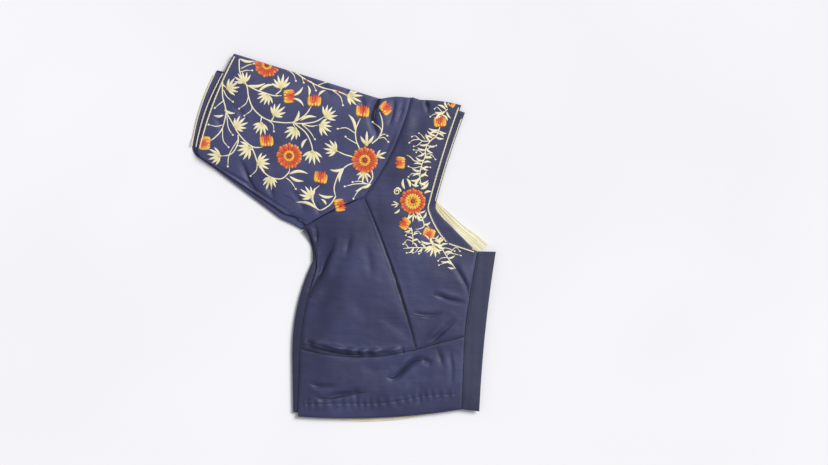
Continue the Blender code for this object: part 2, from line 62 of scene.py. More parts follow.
# Creases of the body: points along it, reach to its left, reach to its right, rise (a trough is negative)
BODY_CREASES = {
    "bust_dart": (((140, -77), (120, -73), (110, -69), (101, -65)), 1.4, 2.8, -1.9),
    "dart_swell": (((138, -71), (118, -66), (104, -60)), 5.0, 3.0, 0.7),
    "cup_line": (((77, -87.5), (98, -91), (113, -88)), 2.6, 1.5, -1.6),
    "cup_fold_low": (((92, -126), (104, -112), (117, -100)), 5.0, 3.0, 1.3),
    "cup_fold_high": (((97, -124), (112, -111), (129, -95)), 5.0, 2.4, -2.3),
    "cup_fold_top": (((108, -119), (122, -104), (134, -92)), 4.0, 4.0, 0.9),
    "underarm_fold_one": (((-46, 12), (-40, 3), (-37, -8), (-38, -22)), 1.8, 3.0, -1.8),
    "underarm_fold_two": (((-34, 14), (-31, 4), (-33, -12)), 2.0, 3.4, -1.5),
    "side_sag": (((-34, -92), (-24, -74), (-12, -50)), 6.0, 8.0, -0.8),
    "cup_drag": (((60, 20), (76, -8), (96, -30)), 7.0, 8.0, -0.6),
    "bust_swell": (((96, -40), (108, -52), (116, -60)), 9.0, 9.0, 0.7),
    "hem_drag_one": (((10, -196), (14, -186), (12, -172)), 3.0, 4.0, -0.9),
    "hem_drag_two": (((84, -196), (88, -182), (86, -168)), 3.0, 5.0, -0.9),
    "princess_edge": (
        ((24, 40), (37.4, 6), (50.6, -29), (60, -56), (67.5, -80.5), (74.2, -103), (80, -124)),
        3.6, 1.5, 0.75,
    ),
    "princess_shadow": (
        ((29, 34), (40, 6), (53.2, -29), (62.6, -56), (70.2, -80.5), (76.8, -103), (82.5, -124)),
        0.6, 3.0, -2.2,
    ),
    "waist_seam_right": (((84, -128), (104, -123), (124, -117), (137, -113)), 2.0, 2.6, -0.7),
    "placket_drag": (((124, -28), (134, -44), (142, -59), (144, -72)), 1.6, 3.2, -1.5),
    "placket_swell": (((132, -30), (140, -46), (147, -62)), 4.0, 4.0, 0.7),
    "underarm_drag": (((-11, -1), (-15, -14), (-22, -31), (-28, -48), (-37, -69)), 3.0, 7.5, -3.6),
    "underarm_swell": (((-4, 0), (-8, -14), (-16, -36), (-20, -58)), 7.0, 4.0, 1.3),
    "armhole_sag_short": (((9, 3), (6, -8), (2, -24)), 3.0, 3.6, -1.3),
    "armhole_sag_long": (((25, -8), (29, -26), (32, -46)), 4.0, 6.0, -0.9),
    "princess_ease": (((42, -20), (52, -52), (60, -84)), 9.0, 6.0, 0.3),
    "soft_diagonal": (((40, -89), (66, -107), (77, -119)), 10.0, 6.0, -0.9),
    "seat_diagonal": (((2, -60), (20, -84), (34, -112)), 12.0, 9.0, -0.7),
    "waist_roll": (
        ((-47, -117), (-34, -120.5), (-14, -126), (9, -130), (40, -131), (74, -127)),
        3.2, 2.2, 2.3,
    ),
    "waist_tuck": (((-48, -127), (-30, -130), (-6, -134), (20, -137), (60, -135)), 1.8, 3.4, -2.3),
    "band_wave": (((49, -160), (56, -163), (64, -158), (74, -148), (84, -142), (94, -142)), 3.6, 3.0, -3.4),
    "band_wave_lip": (((52, -155), (62, -152), (72, -142), (80, -137)), 4.0, 4.0, 1.1),
    "band_knot": (((90, -141), (101, -146)), 3.0, 3.0, -2.0),
    "placket_pull_short": (((108, -126), (111, -138), (114, -151)), 2.0, 3.6, -1.0),
    "placket_pull_long": (((121, -130), (124, -150), (123, -172)), 2.0, 3.6, -0.9),
    "placket_pull_swell": (((117, -128), (119, -150), (118, -168)), 4.5, 4.5, 0.35),
    "band_sag_high": (((-40, -168), (-28, -172), (-10, -171)), 3.0, 2.2, -1.8),
    "band_sag_low": (((-36, -182), (-24, -187), (-9, -183), (27, -178)), 4.0, 2.4, -2.5),
    "band_sag_mid": (((20, -150), (38, -154), (52, -148)), 6.0, 5.0, -0.8),
    "band_drag_right": (((70, -170), (88, -160), (104, -162)), 6.0, 5.0, -0.8),
    "shoulder_tuck": (((94, 158), (96, 150), (97, 141)), 1.5, 2.6, -1.8),
    "shoulder_swell": (((76, 140), (74, 126), (68, 104)), 6.0, 6.0, 0.5),
    "shoulder_sag": (((90, 150), (84, 120), (74, 92)), 8.0, 6.0, -0.6),
}
# Creases of the right sleeve, in the same form
SLEEVE_CREASES = {
    "cap_pocket": (((41, 160), (37, 151), (34, 138), (36, 126), (40, 108)), 2.0, 4.2, -3.4),
    "cap_pocket_lip": (((50, 158), (45, 148), (44, 130)), 4.0, 4.0, 0.9),
    "cap_gather_one": (((58, 158), (57, 144), (52, 126)), 1.8, 3.0, -1.6),
    "cap_gather_two": (((69, 158), (67, 146), (62, 130)), 1.8, 2.8, -1.4),
    "cap_gather_three": (((20, 161), (22, 149), (19, 134)), 2.0, 3.4, -1.5),
    "cap_ease": (((62, 118), (54, 96), (42, 74)), 4.0, 4.0, 0.6),
    "underarm_press": (((-158, 87), (-120, 66), (-92, 47), (-66, 30), (-52, 21)), 1.6, 3.2, -1.0),
    "underarm_pucker": (((-66, 27), (-54, 20), (-42, 16)), 2.0, 2.6, -1.5),
    "elbow_sag": (((-118, 90), (-112, 75), (-106, 61), (-99, 50)), 1.8, 4.4, -1.9),
    "elbow_swell": (((-100, 96), (-90, 70), (-84, 52)), 8.0, 8.0, 0.8),
    "fore_drag": (((-140, 190), (-132, 160), (-140, 120)), 9.0, 9.0, -0.6),
    "inner_drag": (((-60, 60), (-30, 52), (-4, 56)), 7.0, 9.0, -0.7),
    "top_drag": (((-60, 186), (-20, 166), (14, 160)), 4.0, 9.0, -0.7),
    "cap_sag": (((-20, 24), (0, 34), (18, 46)), 3.5, 6.0, -0.8),
    "cap_press_low": (((14, 62), (32, 66), (44, 78)), 2.0, 4.0, -1.3),
    "cap_press_high": (((40, 86), (50, 100), (60, 122)), 2.4, 4.0, -1.2),
    "top_pucker_one": (((-30, 178), (-20, 170), (-14, 160)), 2.2, 3.6, -1.0),
    "top_pucker_two": (((2, 170), (8, 160), (10, 148)), 2.0, 3.6, -1.2),
    "cuff_drag_one": (((-150, 140), (-141, 128), (-138, 112)), 3.0, 4.0, -1.0),
    "cuff_drag_two": (((-128, 150), (-118, 142), (-112, 128)), 3.0, 4.0, -0.9),
    "low_drag_one": (((-92, 66), (-84, 54), (-80, 42)), 2.2, 4.0, -1.4),
    "low_drag_two": (((-62, 56), (-52, 44), (-44, 26)), 2.6, 4.6, -1.3),
    "low_drag_three": (((-34, 40), (-28, 28), (-26, 18)), 2.0, 3.4, -1.2),
    "mid_sag": (((-72, 130), (-50, 104), (-44, 80)), 10.0, 12.0, -0.7),
}
# Creases of the layers beneath, in the same form
UNDER_CREASES = {
    "under_drag_one": (((-40, 60), (-90, 100), (-130, 150)), 7.0, 9.0, -0.5),
    "under_drag_two": (((20, 110), (-20, 120), (-70, 150)), 6.0, 8.0, 0.4),
    "under_band_sag": (((-40, -180), (0, -190), (60, -176)), 5.0, 7.0, -0.5),
    "under_side_sag": (((-30, -20), (10, -60), (20, -120)), 8.0, 9.0, -0.5),
    "under_neck_sag": (((90, 120), (80, 60), (100, 0)), 7.0, 9.0, -0.5),
}
# Line that the left cuff's upper wall is set back from
LEFT_CUFF = ((-163.4, 87.6), (-175.4, 102.6), (-166, 148), (-146.4, 192))
# The four sides of each sheet (foot, front, head, back): a corner, then cells and the next corner
HEM, PRINCESS_FOOT, WAIST_FRONT = (-53, -207), (83, -129.5), (138.5, -114.5)
WAIST_SIDE, NOTCH, SHOULDER, UNDERARM = (-50, -128.5), (23.5, 44.5), (78, 160), (-43.4, 11.5)
HEM_FRONT, NECK_FRONT, HEEL, CUFF_TOP = (135.5, -198.5), (153.5, -17), (-164.4, 90), (-126.4, 211)
SHAPES = {
    "front_side_panel": (
        (WAIST_SIDE, (120, PRINCESS_FOOT)),
        (PRINCESS_FOOT, (170, NOTCH)),
        (UNDERARM, (120, NOTCH)),
        (WAIST_SIDE, (96, (-31, -36.5)), (74, UNDERARM)),
    ),
    "front_centre_panel": (
        (PRINCESS_FOOT, (70, WAIST_FRONT)),
        (WAIST_FRONT, (70, NECK_FRONT), (28, (120, -6)), (52, (98.5, 32)), (130, (135, 150.5))),
        (SHOULDER, (20, (87.5, 156.8)), (50, (135, 150.5))),
        (PRINCESS_FOOT, (168, NOTCH), (112, SHOULDER)),
    ),
    "front_waist_band": (
        (HEM, (190, HEM_FRONT)),
        (HEM_FRONT, (84, WAIST_FRONT)),
        (WAIST_SIDE, (132, PRINCESS_FOOT), (58, WAIST_FRONT)),
        (HEM, (84, WAIST_SIDE)),
    ),
    "hook_placket": (
        (HEM_FRONT, (26, (155.5, -201))),
        ((155.5, -201), (180, (174.5, -17.5))),
        (NECK_FRONT, (26, (174.5, -17.5))),
        (HEM_FRONT, (84, WAIST_FRONT), (96, NECK_FRONT)),
    ),
    "folded_back_and_left_front": (
        ((-59, -202.5), (78, (152, -195.5))),
        ((152, -195.5), (48, (170.5, -23.5)), (12, (113, -20.5)), (84, (88.5, 32.5)), (48, (122.5, 148.5))),
        (SHOULDER, (12, (87.5, 156.8)), (66, (122.5, 148.5))),
        (
            (-59, -202.5), (30, (-60, -133)), (42, (-36.5, -28.5)), (24, (-48.5, 6.5)), (48, NOTCH),
            (48, SHOULDER),
        ),
    ),
    "back_neck_panel": (
        ((146.5, -19), (16, (147.5, -13))),
        ((147.5, -13), (50, (109, 25.5)), (30, (105.5, 37.5)), (80, (139, 142))),
        ((126, 146.5), (16, (139, 142))),
        ((146.5, -19), (30, (117, -15.5)), (50, (93, 32.5)), (80, (126, 146.5))),
    ),
    "right_sleeve": (
        (HEEL, (60, (-67.4, 24.5)), (12, UNDERARM)),
        (UNDERARM, (31, NOTCH), (33, SHOULDER)),
        (CUFF_TOP, (58, (41.5, 159)), (14, SHOULDER)),
        (HEEL, (8, (-168.5, 100.5)), (56, CUFF_TOP)),
    ),
    "left_sleeve": (
        ((-163.4, 87.6), (38, (-73.4, 19)), (10, (-48.4, 6.6))),
        ((-48.4, 6.6), (24, NOTCH), (24, SHOULDER)),
        ((-146.4, 192), (38, (36.5, 156.5)), (10, SHOULDER)),
        ((-163.4, 87.6), (9, (-175, 102.5)), (39, (-146.4, 192))),
    ),
}
# Painted shade, as near-black strips in seam ditches and the hearts of deep folds: points, widths, tone
PAINTED_SHADE_DITCHES = (
    (((24.2, 43.6), (30.8, 28), (39.7, 6), (52.8, -29), (62.1, -56), (69.6, -80.5), (76.1, -103),
      (82.6, -128.5)),
     (0.6, 0.9, 1.3, 2.0, 2.9, 2.7, 1.9, 1.0), 0.0),
    (((-49.5, -128.9), (-28, -133.9), (1, -137.3), (18, -138), (48, -136.3), (83.2, -129.9)),
     (0.7, 1.3, 1.2, 1.5, 1.2, 0.9), 0.1),
    (((83.2, -129.8), (97, -125.6), (106, -122.9), (116, -120.4), (137.8, -115)),
     (0.9, 1.3, 1.7, 1.0, 0.5), 0.1),
    (((153.3, -18), (148.5, -45), (144.2, -71), (139.4, -106), (137.1, -150), (135.5, -198)),
     (0.8, 0.7, 0.9, 0.7, 0.8), 0.2),
    (((-50, -126), (-47.1, -100), (-43.5, -80), (-38.7, -60), (-32, -38)), (0.8, 1.0, 0.9, 0.4), 0.2),
    (((-48.5, -122), (-33, -126.5), (-14, -132), (0, -134.8), (24, -134.8)),
     (1.4, 2.8, 3.4, 2.2, 0.4), 0.24),
    (((50, -160.5), (57, -162.5), (65, -156.5), (74, -148), (83, -142.5), (95, -142)),
     (0.5, 2.6, 3.6, 2.4, 1.4, 0.4), 0.25),
    (((98, -124), (106, -118), (112, -112), (119, -105)), (0.4, 1.8, 1.6, 0.3), 0.4),
    (((76, -88.3), (86, -91.2), (103, -92.5)), (0.7, 1.1, 0.3), 0.35),
    (((102, -66), (110, -69), (133, -75)), (1.2, 0.9, 0.3), 0.35),
    (((-38, -70), (-31.5, -53), (-24, -40), (-17, -26)), (3.6, 4.4, 1.8, 0.4), 0.3),
    (((94.5, 158), (95.5, 150), (97, 142)), (2.0, 1.5, 0.4), 0.2),
    (((106.5, -126), (110, -136), (113, -146)), (0.9, 0.7, 0.3), 0.45),
    (((-30, -184), (-14, -185.5), (4, -181.5), (27, -178)), (0.5, 2.2, 1.5, 0.3), 0.4),
    (((-39, -168), (-28, -171.5), (-12, -171.5)), (0.4, 1.1, 0.3), 0.5),
    (((124, -29), (134, -44), (141.5, -58), (144, -72)), (0.5, 0.9, 0.9, 0.3), 0.4),
    (((8, -2), (6, -9), (4, -17)), (0.4, 1.0, 0.3), 0.55),
)
# Painted shade in the sleeve's cap pocket and its deep folds, in the same form
SLEEVE_PAINTED_SHADE_DITCHES = (
    (((42, 159), (38.5, 152), (34, 143), (33.5, 134), (37.5, 121)), (2.4, 4.6, 3.2, 3.8, 0.8), 0.1),
    (((-118, 90), (-112, 75), (-106, 61), (-99, 50)), (0.3, 0.8, 1.0, 0.4), 0.3),
    (((-58, 22), (-48, 15), (-42, 6), (-38, -4)), (0.5, 1.6, 1.4, 0.4), 0.2),
    (((-70, 48), (-58, 42), (-50, 30)), (0.3, 0.8, 0.3), 0.5),
    (((60, 156), (58, 144), (53, 128)), (0.6, 0.8, 0.3), 0.5),
)
PRINCESS_SEAM = PAINTED_SHADE_DITCHES[0][0]
PLACKET_RIDGE = ((146.5, -196), (154.5, -20))
ARMHOLE_SEAM = ((-47.6, 8.6), (-44.0, 10.6), (-12, 26), (23.5, 44.5), (46, 78), (62, 112), (78.5, 158.5))
HEM_STITCHES = ((-47, -192.5), (-9, -191.5), (45, -191), (94, -182.5), (127, -181))
# Lines of machine stitches in navy: points, gap between stitches, width, tone
NAVY_STITCHES = (
    (HEM_STITCHES, 0.7, 0.55, 0.15),
    (((138.5, -190), (141, -150), (141.5, -112), (149, -60), (155, -24)), 0.8, 0.5, 0.2),
    (((-56.5, -198), (-57, -133), (-52, -90), (-35, -34)), 0.8, 0.5, 0.2),
    (((153, -198), (161, -150), (168, -80), (171.5, -24)), 0.8, 0.5, 0.2),
)
FACING = ((103, 39), (117, 22), (132, 4), (148, -11), (156, -19))
# Rows of stitches that run along the neck facing: a route down its middle, and the way across it
FACING_ROWS = (-0.375, -0.125, 0.125, 0.375)
FACING_MIDDLE = np.array(((104, 38), (117, 21), (132, 3), (148, -12)))
FACING_ACROSS = np.array(((4, 3), (8, 7), (13, 12), (18, 15)))
LINING = ((-17.5, -208.2), (20, -210.2), (60, -208.8), (99, -203.8))
# Where the waist seam and the hem pull into puckers: points, distance between puckers, reach, height
PUCKERS = (
    (((-48, -121), (-14, -128), (20, -133), (70, -130)), 17.0, 3.6, 1.7),
    (HEM_STITCHES, 9.0, 5.0, 0.5),
)
# Hidden layers, from the top: share of the stack's height, share of the front's troughs, sideways waver
HIDDEN_LAYERS = {
    "right_back": (1.0, 1.0, 0.0),
    "left_back": (0.62, 0.4, 0.35),
    "left_front": (0.0, 0.1, 0.25),
}
STACK_EDGE = 5.1  # level of the stack's top along its edge
LOWEST_SKIN = 1.05  # level of the lowest layer's top where it lies flat
LAYER_FLOOR = 0.98  # no layer's top goes below this, so that its underside stays on the surface
SLEEVE_FLOOR = 0.1  # lowest level of a sleeve's skin
SLEEVE_WALL = 0.85  # share of the cloth's thickness, as the sleeves are unlined
# Flat sizes in metres, width and length
BACK_NECK_FLAT = (0.040, 0.190)
STRIP_CELLS = 28
UNDER_FRONT = 1.3  # how far a strip lies under the top of the cloth over it
STRIP_RIDGES = (0.6, 0.75)  # depth and reach of the groove between a strip's sewn channels
CORD_STEP = 0.55  # between rings of vertices along a cord
CORD_SIDES = 10
CORD_PITCH = 4.2  # one ply's turn along the cord
CORD_PLY = 0.16  # how far each ply stands out, as a share of the cord's radius
CORD_LIFT = 0.55  # how high a cord's middle is over the cloth, as a share of its radius
HIGH = 0.05  # a height in metres over every piece, to look down from
VIEW_MIDDLE = (80.5, 4.4)
KEY_FROM = (1.0, 0.72, 1.25)  # the direction that the key light comes from

# Panels: frame node, how far its edges roll down, material, flat width and length
PANELS = {
    "side_panel": ("front_side_panel", 1.0, "satin", (0.150, 0.200)),
    "centre_panel": ("front_centre_panel", 0.9, "satin", (0.120, 0.315)),
    "waist_band": ("front_waist_band", 0.8, "satin", (0.200, 0.098)),
    "placket": ("hook_placket", 0.5, "twill", (0.028, 0.192)),
}

# Sleeve embroidery, drawn over the cloth: stems as points
SLEEVE_STEMS = (
    ((-120, 203), (-119, 188), (-111, 172), (-109, 160), (-104, 147), (-94, 137), (-83, 132), (-69, 130),
     (-59, 130), (-49, 129), (-33, 131), (-22, 137)),
    ((-111, 173), (-99, 167), (-90, 164), (-80, 161), (-71, 161)),
    ((-78, 162), (-72, 167), (-71, 171)),
    ((-59, 130), (-51, 134), (-43, 140), (-37, 149)),
    ((-83, 132), (-80, 137), (-79, 140)),
    ((-94, 137), (-95, 131), (-95, 128)),
    ((-49, 129), (-38, 126), (-30, 127)),
    ((-56, 129), (-44, 119), (-38, 108), (-35, 96)),
    ((-58, 129), (-55, 124)),
    ((-139, 178), (-139, 161), (-136, 149), (-135, 141), (-138, 127), (-142, 119), (-149, 112), (-154, 109)),
    ((-139, 174), (-133, 169)),
    ((-135, 142), (-130, 134), (-125, 125), (-120, 117), (-112, 108), (-103, 102), (-93, 102)),
    ((-121, 116), (-121, 107), (-126, 97), (-132, 93), (-140, 92)),
    ((-106, 104), (-102, 94), (-98, 83), (-91, 73), (-82, 67), (-71, 66), (-63, 73), (-62, 78)),
    ((-104, 99), (-110, 100)),
    ((-98, 82), (-95, 83)),
    ((-86, 69), (-85, 67)),
    ((-112, 178), (-114, 180)),
    ((-72, 194), (-58, 189), (-44, 180), (-26, 171), (-7, 166), (5, 161)),
    ((18, 100), (14, 111), (14, 123), (19, 135)),
    ((32, 106), (40, 113), (44, 122), (44, 132), (41, 142)),
    ((10, 91), (0, 94), (-8, 98)),
    ((12, 84), (4, 81), (-4, 74), (-8, 66), (-11, 55), (-9, 44)),
    ((-9, 46), (-16, 36), (-28, 30), (-35, 40), (-34, 52), (-28, 58)),
    ((32, 76), (33, 67), (28, 59), (22, 55)),
    ((-33, 36), (-38, 44)),
    ((23, 74), (22, 71)),
)
# Twigs end in a small knot
SLEEVE_TWIGS = (
    ((-109, 160), (-112, 152), (-120, 146)), ((-105, 150), (-106, 144), (-114, 138)),
    ((-88, 134), (-81, 128), (-80, 120)), ((-48, 128), (-39, 120), (-33, 111)),
    ((-120, 112), (-131, 94), (-133, 80)), ((-139, 124), (-138, 110), (-132, 102)),
    ((-134, 138), (-132, 124), (-127, 116)), ((-137, 128), (-146, 126), (-155, 128)),
    ((-137, 156), (-142, 152), (-148, 147)), ((-138, 168), (-134, 160), (-127, 154)),
    ((-99, 86), (-100, 76), (-107, 69)), ((-66, 67), (-60, 62), (-55, 54)),
    ((-119, 188), (-112, 190), (-105, 190)), ((-118, 192), (-110, 196), (-103, 198)),
    ((13, 118), (3, 124), (-7, 123)), ((15, 106), (6, 111), (2, 114)),
    ((39, 112), (43, 122), (33, 131)), ((40, 112), (46, 113), (51, 108)),
    ((41, 114), (46, 117), (50, 115)), ((28, 60), (14, 60), (1, 57)),
    ((26, 60), (18, 63), (10, 62)), ((24, 57), (16, 51), (11, 43)),
    ((-52, 186), (-48, 182), (-46, 176)), ((-38, 178), (-34, 172), (-32, 167)),
    ((-30, 173), (-22, 176), (-12, 177)), ((-14, 168), (-4, 160), (-1, 150)),
    ((-66, 192), (-58, 186), (-55, 178)),
)
# Fans of petals: x, y of the root, direction in degrees, reach, number of petals
SLEEVE_FANS = (
    (-133, 169, 20, 15, 7), (-114, 176, 112, 14, 6), (-87, 162, 238, 14, 6), (-72, 170, 92, 16, 6),
    (-80, 139, 48, 15, 6), (-124, 125, 32, 15, 6), (-94, 129, 252, 14, 6), (-108, 101, 205, 16, 7),
    (-98, 84, 8, 15, 7), (-142, 92, 184, 15, 6), (-55, 123, 236, 15, 7), (-84, 67, 262, 14, 6),
    (-37, 45, 132, 15, 6), (-36, 97, 268, 16, 6), (-21, 137, 42, 15, 7), (-27, 127, -18, 15, 6),
    (-9, 98, 158, 15, 6), (5, 161, -12, 16, 6), (23, 73, 262, 13, 5), (26, 105, 88, 17, 3),
    (38, 92, 22, 12, 3),
)
# Buds: x, y of the middle, direction in degrees, size
SLEEVE_BUDS = (
    (-63, 160, 2, 15), (-34, 155, 88, 15), (-159, 107, 176, 15), (-88, 109, 92, 15),
    (-26, 67, 78, 15), (22, 143, 82, 15), (48, 146, 40, 14), (-5, 36, 12, 14),
)
# Flowers: x, y, size, share of the radius that is yellow
SLEEVE_FLOWERS = ((-62.5, 92, 30, 0.42), (24, 87, 31, 0.42), (-88, 197, 30, 0.40))
# Single leaves: x, y of the root, direction in degrees, length, width
SLEEVE_LEAVES = (
    (-110, 173, 6, 20, 4.2), (-98, 165, 24, 21, 4.0), (-58, 161, 42, 15, 3.6), (-58, 158, -36, 15, 3.6),
    (-40, 161, 96, 12, 3.4), (-29, 161, 38, 10, 3.2), (-57, 131, 66, 14, 4.2), (-50, 132, 14, 19, 4.0),
    (-137, 145, -18, 13, 3.8), (-138, 139, 182, 11, 3.6), (13, 121, 112, 20, 4.4), (-63, 71, 2, 22, 4.2),
    (-62, 69, -20, 17, 4.0), (-12, 46, 172, 17, 4.0), (-30, 31, 162, 26, 4.2), (0, 78, 186, 16, 4.0),
    (0, 77, 252, 16, 4.2), (-48, 101, 60, 12, 4.0), (-120, 204, -10, 18, 3.8), (-78, 199, -16, 12, 3.2),
    (20, 56, 20, 12, 4.0), (20, 56, 212, 8, 3.0), (-20, 36, 132, 9, 3.2),
)
SLEEVE_KNOTS = ((-64, 190), (-43, 179), (-7, 166))

NECK_STEMS = (
    ((119, 146), (114, 141), (111, 136)),
    ((110, 125), (106, 115), (99, 109), (94, 101), (93, 91), (89, 81), (87, 69), (89, 57)),
    ((99, 109), (91, 109), (84, 112)),
    ((91, 87), (82, 86), (76, 91), (72, 93)),
    ((75, 25), (73, 20)),
    ((86, 27), (90, 20), (92, 12), (88, 9), (82, 8)),
    ((92, 14), (96, 12), (98, 10)),
    ((101, -2), (107, -4), (116, -20), (128, -37)),
    ((98, -14), (88, -13), (78, -13), (68, -14)),
    ((77, 10), (79, 0), (79, -10)),
    ((102, -5), (102, -15)),
)
NECK_TWIGS = (
    ((88, 110), (82, 115), (78, 114)), ((86, 111), (79, 110), (75, 107)), ((90, 109), (84, 104), (80, 103)),
    ((93, 111), (88, 117), (86, 118)), ((93, 98), (87, 100), (83, 96)), ((92, 93), (86, 98), (80, 99)),
    ((94, 99), (101, 103), (106, 104)), ((93, 94), (100, 94), (105, 88)), ((88, 80), (80, 78), (74, 80)),
    ((88, 76), (94, 80), (99, 79)), ((86, 70), (79, 72), (74, 68)), ((112, 140), (104, 140), (99, 137)),
    ((113, 142), (107, 148), (104, 146)), ((80, 4), (85, 6), (88, 3)), ((79, 3), (73, 4), (71, 1)),
    ((79, -4), (84, -3), (86, -6)), ((79, -6), (73, -4), (70, -7)), ((92, -13), (90, -8), (87, -7)),
    ((86, -13), (82, -18), (79, -19)), ((80, -13), (76, -18), (72, -19)), ((74, -13), (71, -9), (68, -9)),
    ((90, -14), (88, -19), (86, -20)), ((112, -13), (120, -14), (127, -17)),
    ((116, -19), (126, -20), (134, -22)), ((119, -24), (112, -25), (108, -28)),
    ((122, -29), (114, -31), (109, -33)), ((118, -22), (128, -13), (133, -17)),
)
NECK_FANS = (
    (103, -12, 250, 13, 5), (80, 25, 262, 9, 3), (62, 37, 190, 8, 3), (105, -5, 20, 9, 3),
)
NECK_BUDS = ((110, 131, 95, 14), (65, 84, 178, 13), (70, 14, 150, 13), (98, 4, 250, 13), (123, 152, 60, 9))
NECK_FLOWERS = ((79, 40, 30, 0.62),)
NECK_LEAVES = (
    (117, 145, 150, 11, 3.2), (116, 143, 182, 12, 3.2), (114, 141, 215, 11, 3.2), (119, 147, 110, 9, 3.0),
    (118, 143, -60, 9, 3.0), (109, 122, 172, 12, 3.2), (109, 121, -20, 9, 3.0), (106, 115, 150, 12, 3.2),
    (105, 114, -12, 10, 3.0), (99, 109, 120, 10, 3.0), (94, 101, -35, 10, 3.0), (93, 96, 205, 10, 3.0),
    (92, 90, 18, 9, 3.0), (91, 86, 150, 10, 3.0), (89, 80, -30, 9, 3.0), (88, 75, 165, 10, 3.0),
    (87, 68, 40, 10, 3.0), (87, 66, 190, 11, 3.0), (86, 62, -20, 9, 3.0), (70, 54, 98, 12, 3.8),
    (76, 56, 112, 11, 4.0), (82, 56, 62, 13, 4.2), (88, 54, 40, 12, 4.0), (92, 49, 14, 9, 3.2),
    (66, 51, 140, 8, 3.0), (64, 31, 215, 8, 2.8), (90, 20, 60, 9, 3.0), (91, 18, 150, 9, 3.0),
    (92, 13, 25, 8, 3.0), (88, 24, 130, 9, 3.0), (102, -8, -12, 10, 3.4), (102, -10, 100, 10, 3.4),
    (103, -12, 208, 12, 3.4), (109, -9, 70, 9, 3.0), (108, -7, 40, 9, 3.0), (121, -28, 184, 10, 2.8),
    (125, -33, 160, 10, 2.6), (77, 8, 200, 8, 2.8),
    (112, 137, 205, 10, 3.0), (113, 139, -48, 9, 2.8), (108, 119, 190, 11, 3.0), (107, 118, -30, 9, 2.8),
    (102, 112, 165, 10, 3.0), (97, 106, 185, 11, 3.0), (96, 104, -5, 9, 2.8), (94, 99, 165, 10, 2.8),
    (93, 93, -20, 9, 2.8), (91, 84, 5, 9, 2.8), (90, 82, 175, 10, 2.8), (89, 76, 20, 9, 2.8),
    (88, 72, 200, 10, 2.8), (88, 70, -10, 9, 2.8), (88, 60, 25, 10, 3.2), (86, 58, 165, 9, 3.0),
    (86, 27, 20, 8, 2.6), (90, 22, 170, 8, 2.6), (77, 24, 240, 9, 3.0), (83, 25, 290, 9, 3.0),
    (98, -4, 140, 10, 3.0), (100, -8, 165, 12, 3.4), (106, -9, -30, 11, 3.4), (110, -12, 20, 10, 3.0),
    (113, -16, 200, 11, 3.0), (115, -19, 0, 10, 2.8), (119, -25, 20, 9, 2.6), (127, -36, 175, 8, 2.4),
    (94, -14, 140, 8, 2.4), (90, -13, 220, 8, 2.4), (84, -13, 130, 8, 2.4), (80, -13, 230, 8, 2.4),
    (79, 6, 150, 7, 2.4), (79, 1, 20, 7, 2.4), (79, -3, 160, 7, 2.4), (79, -6, 15, 7, 2.4),
)
NECK_SCROLL = (61, 51, 4.2)


def mm(value):
    return value * MM


def linear(colour):
    """An sRGB hex colour as linear red, green, blue and alpha."""
    parts = [int(colour[i : i + 2], 16) / 255 for i in (1, 3, 5)]
    return [p / 12.92 if p <= 0.04045 else ((p + 0.055) / 1.055) ** 2.4 for p in parts] + [1.0]


def add_node(tree, kind, settings=None, links=None):
    """Adds a shader node, sets its properties or sockets, and links its inputs."""
    node = tree.nodes.new(kind)
    for name, value in (settings or {}).items():
        if isinstance(name, str) and hasattr(node, name):
            setattr(node, name, value)
        else:
            node.inputs[name].default_value = value
    for name, source in (links or {}).items():
        tree.links.new(source, node.inputs[name])
    return node


def new_material(name):
    """An empty material with its Principled shader: returns the material, its tree and the shader."""
    made = bpy.data.materials.new(name)
    made.use_nodes = True
    return made, made.node_tree, made.node_tree.nodes["Principled BSDF"]


def set_shader(shader, **values):
    for name, value in values.items():
        shader.inputs[name.replace("_", " ")].default_value = value


def ramp(tree, source, stops):
    """A colour ramp from positions and hex colours."""
    node = add_node(tree, "ShaderNodeValToRGB", links={"Fac": source})
    elements = node.color_ramp.elements
    while len(elements) < len(stops):
        elements.new(0.5)
    for element, (position, colour) in zip(elements, stops):
        element.position = position
        element.color = linear(colour)
    return node


def scaled_noise(tree, place, size_mm, stretch=(1, 1, 1), detail=3.0, roughness=0.55):
    """Noise whose features are about size_mm across, read from place."""
    mapping = add_node(tree, "ShaderNodeMapping", {"Scale": stretch}, {"Vector": place})
    return add_node(
        tree, "ShaderNodeTexNoise",
        {"Scale": 1 / mm(size_mm), "Detail": detail, "Roughness": roughness},
        {"Vector": mapping.outputs[0]},
    )


def bumped(tree, height, distance_mm, strength=1.0, under=None):
    links = {"Height": height}
    if under:
        links["Normal"] = under.outputs[0]
    return add_node(
        tree, "ShaderNodeBump", {"Distance": mm(distance_mm), "Strength": strength}, links
    )


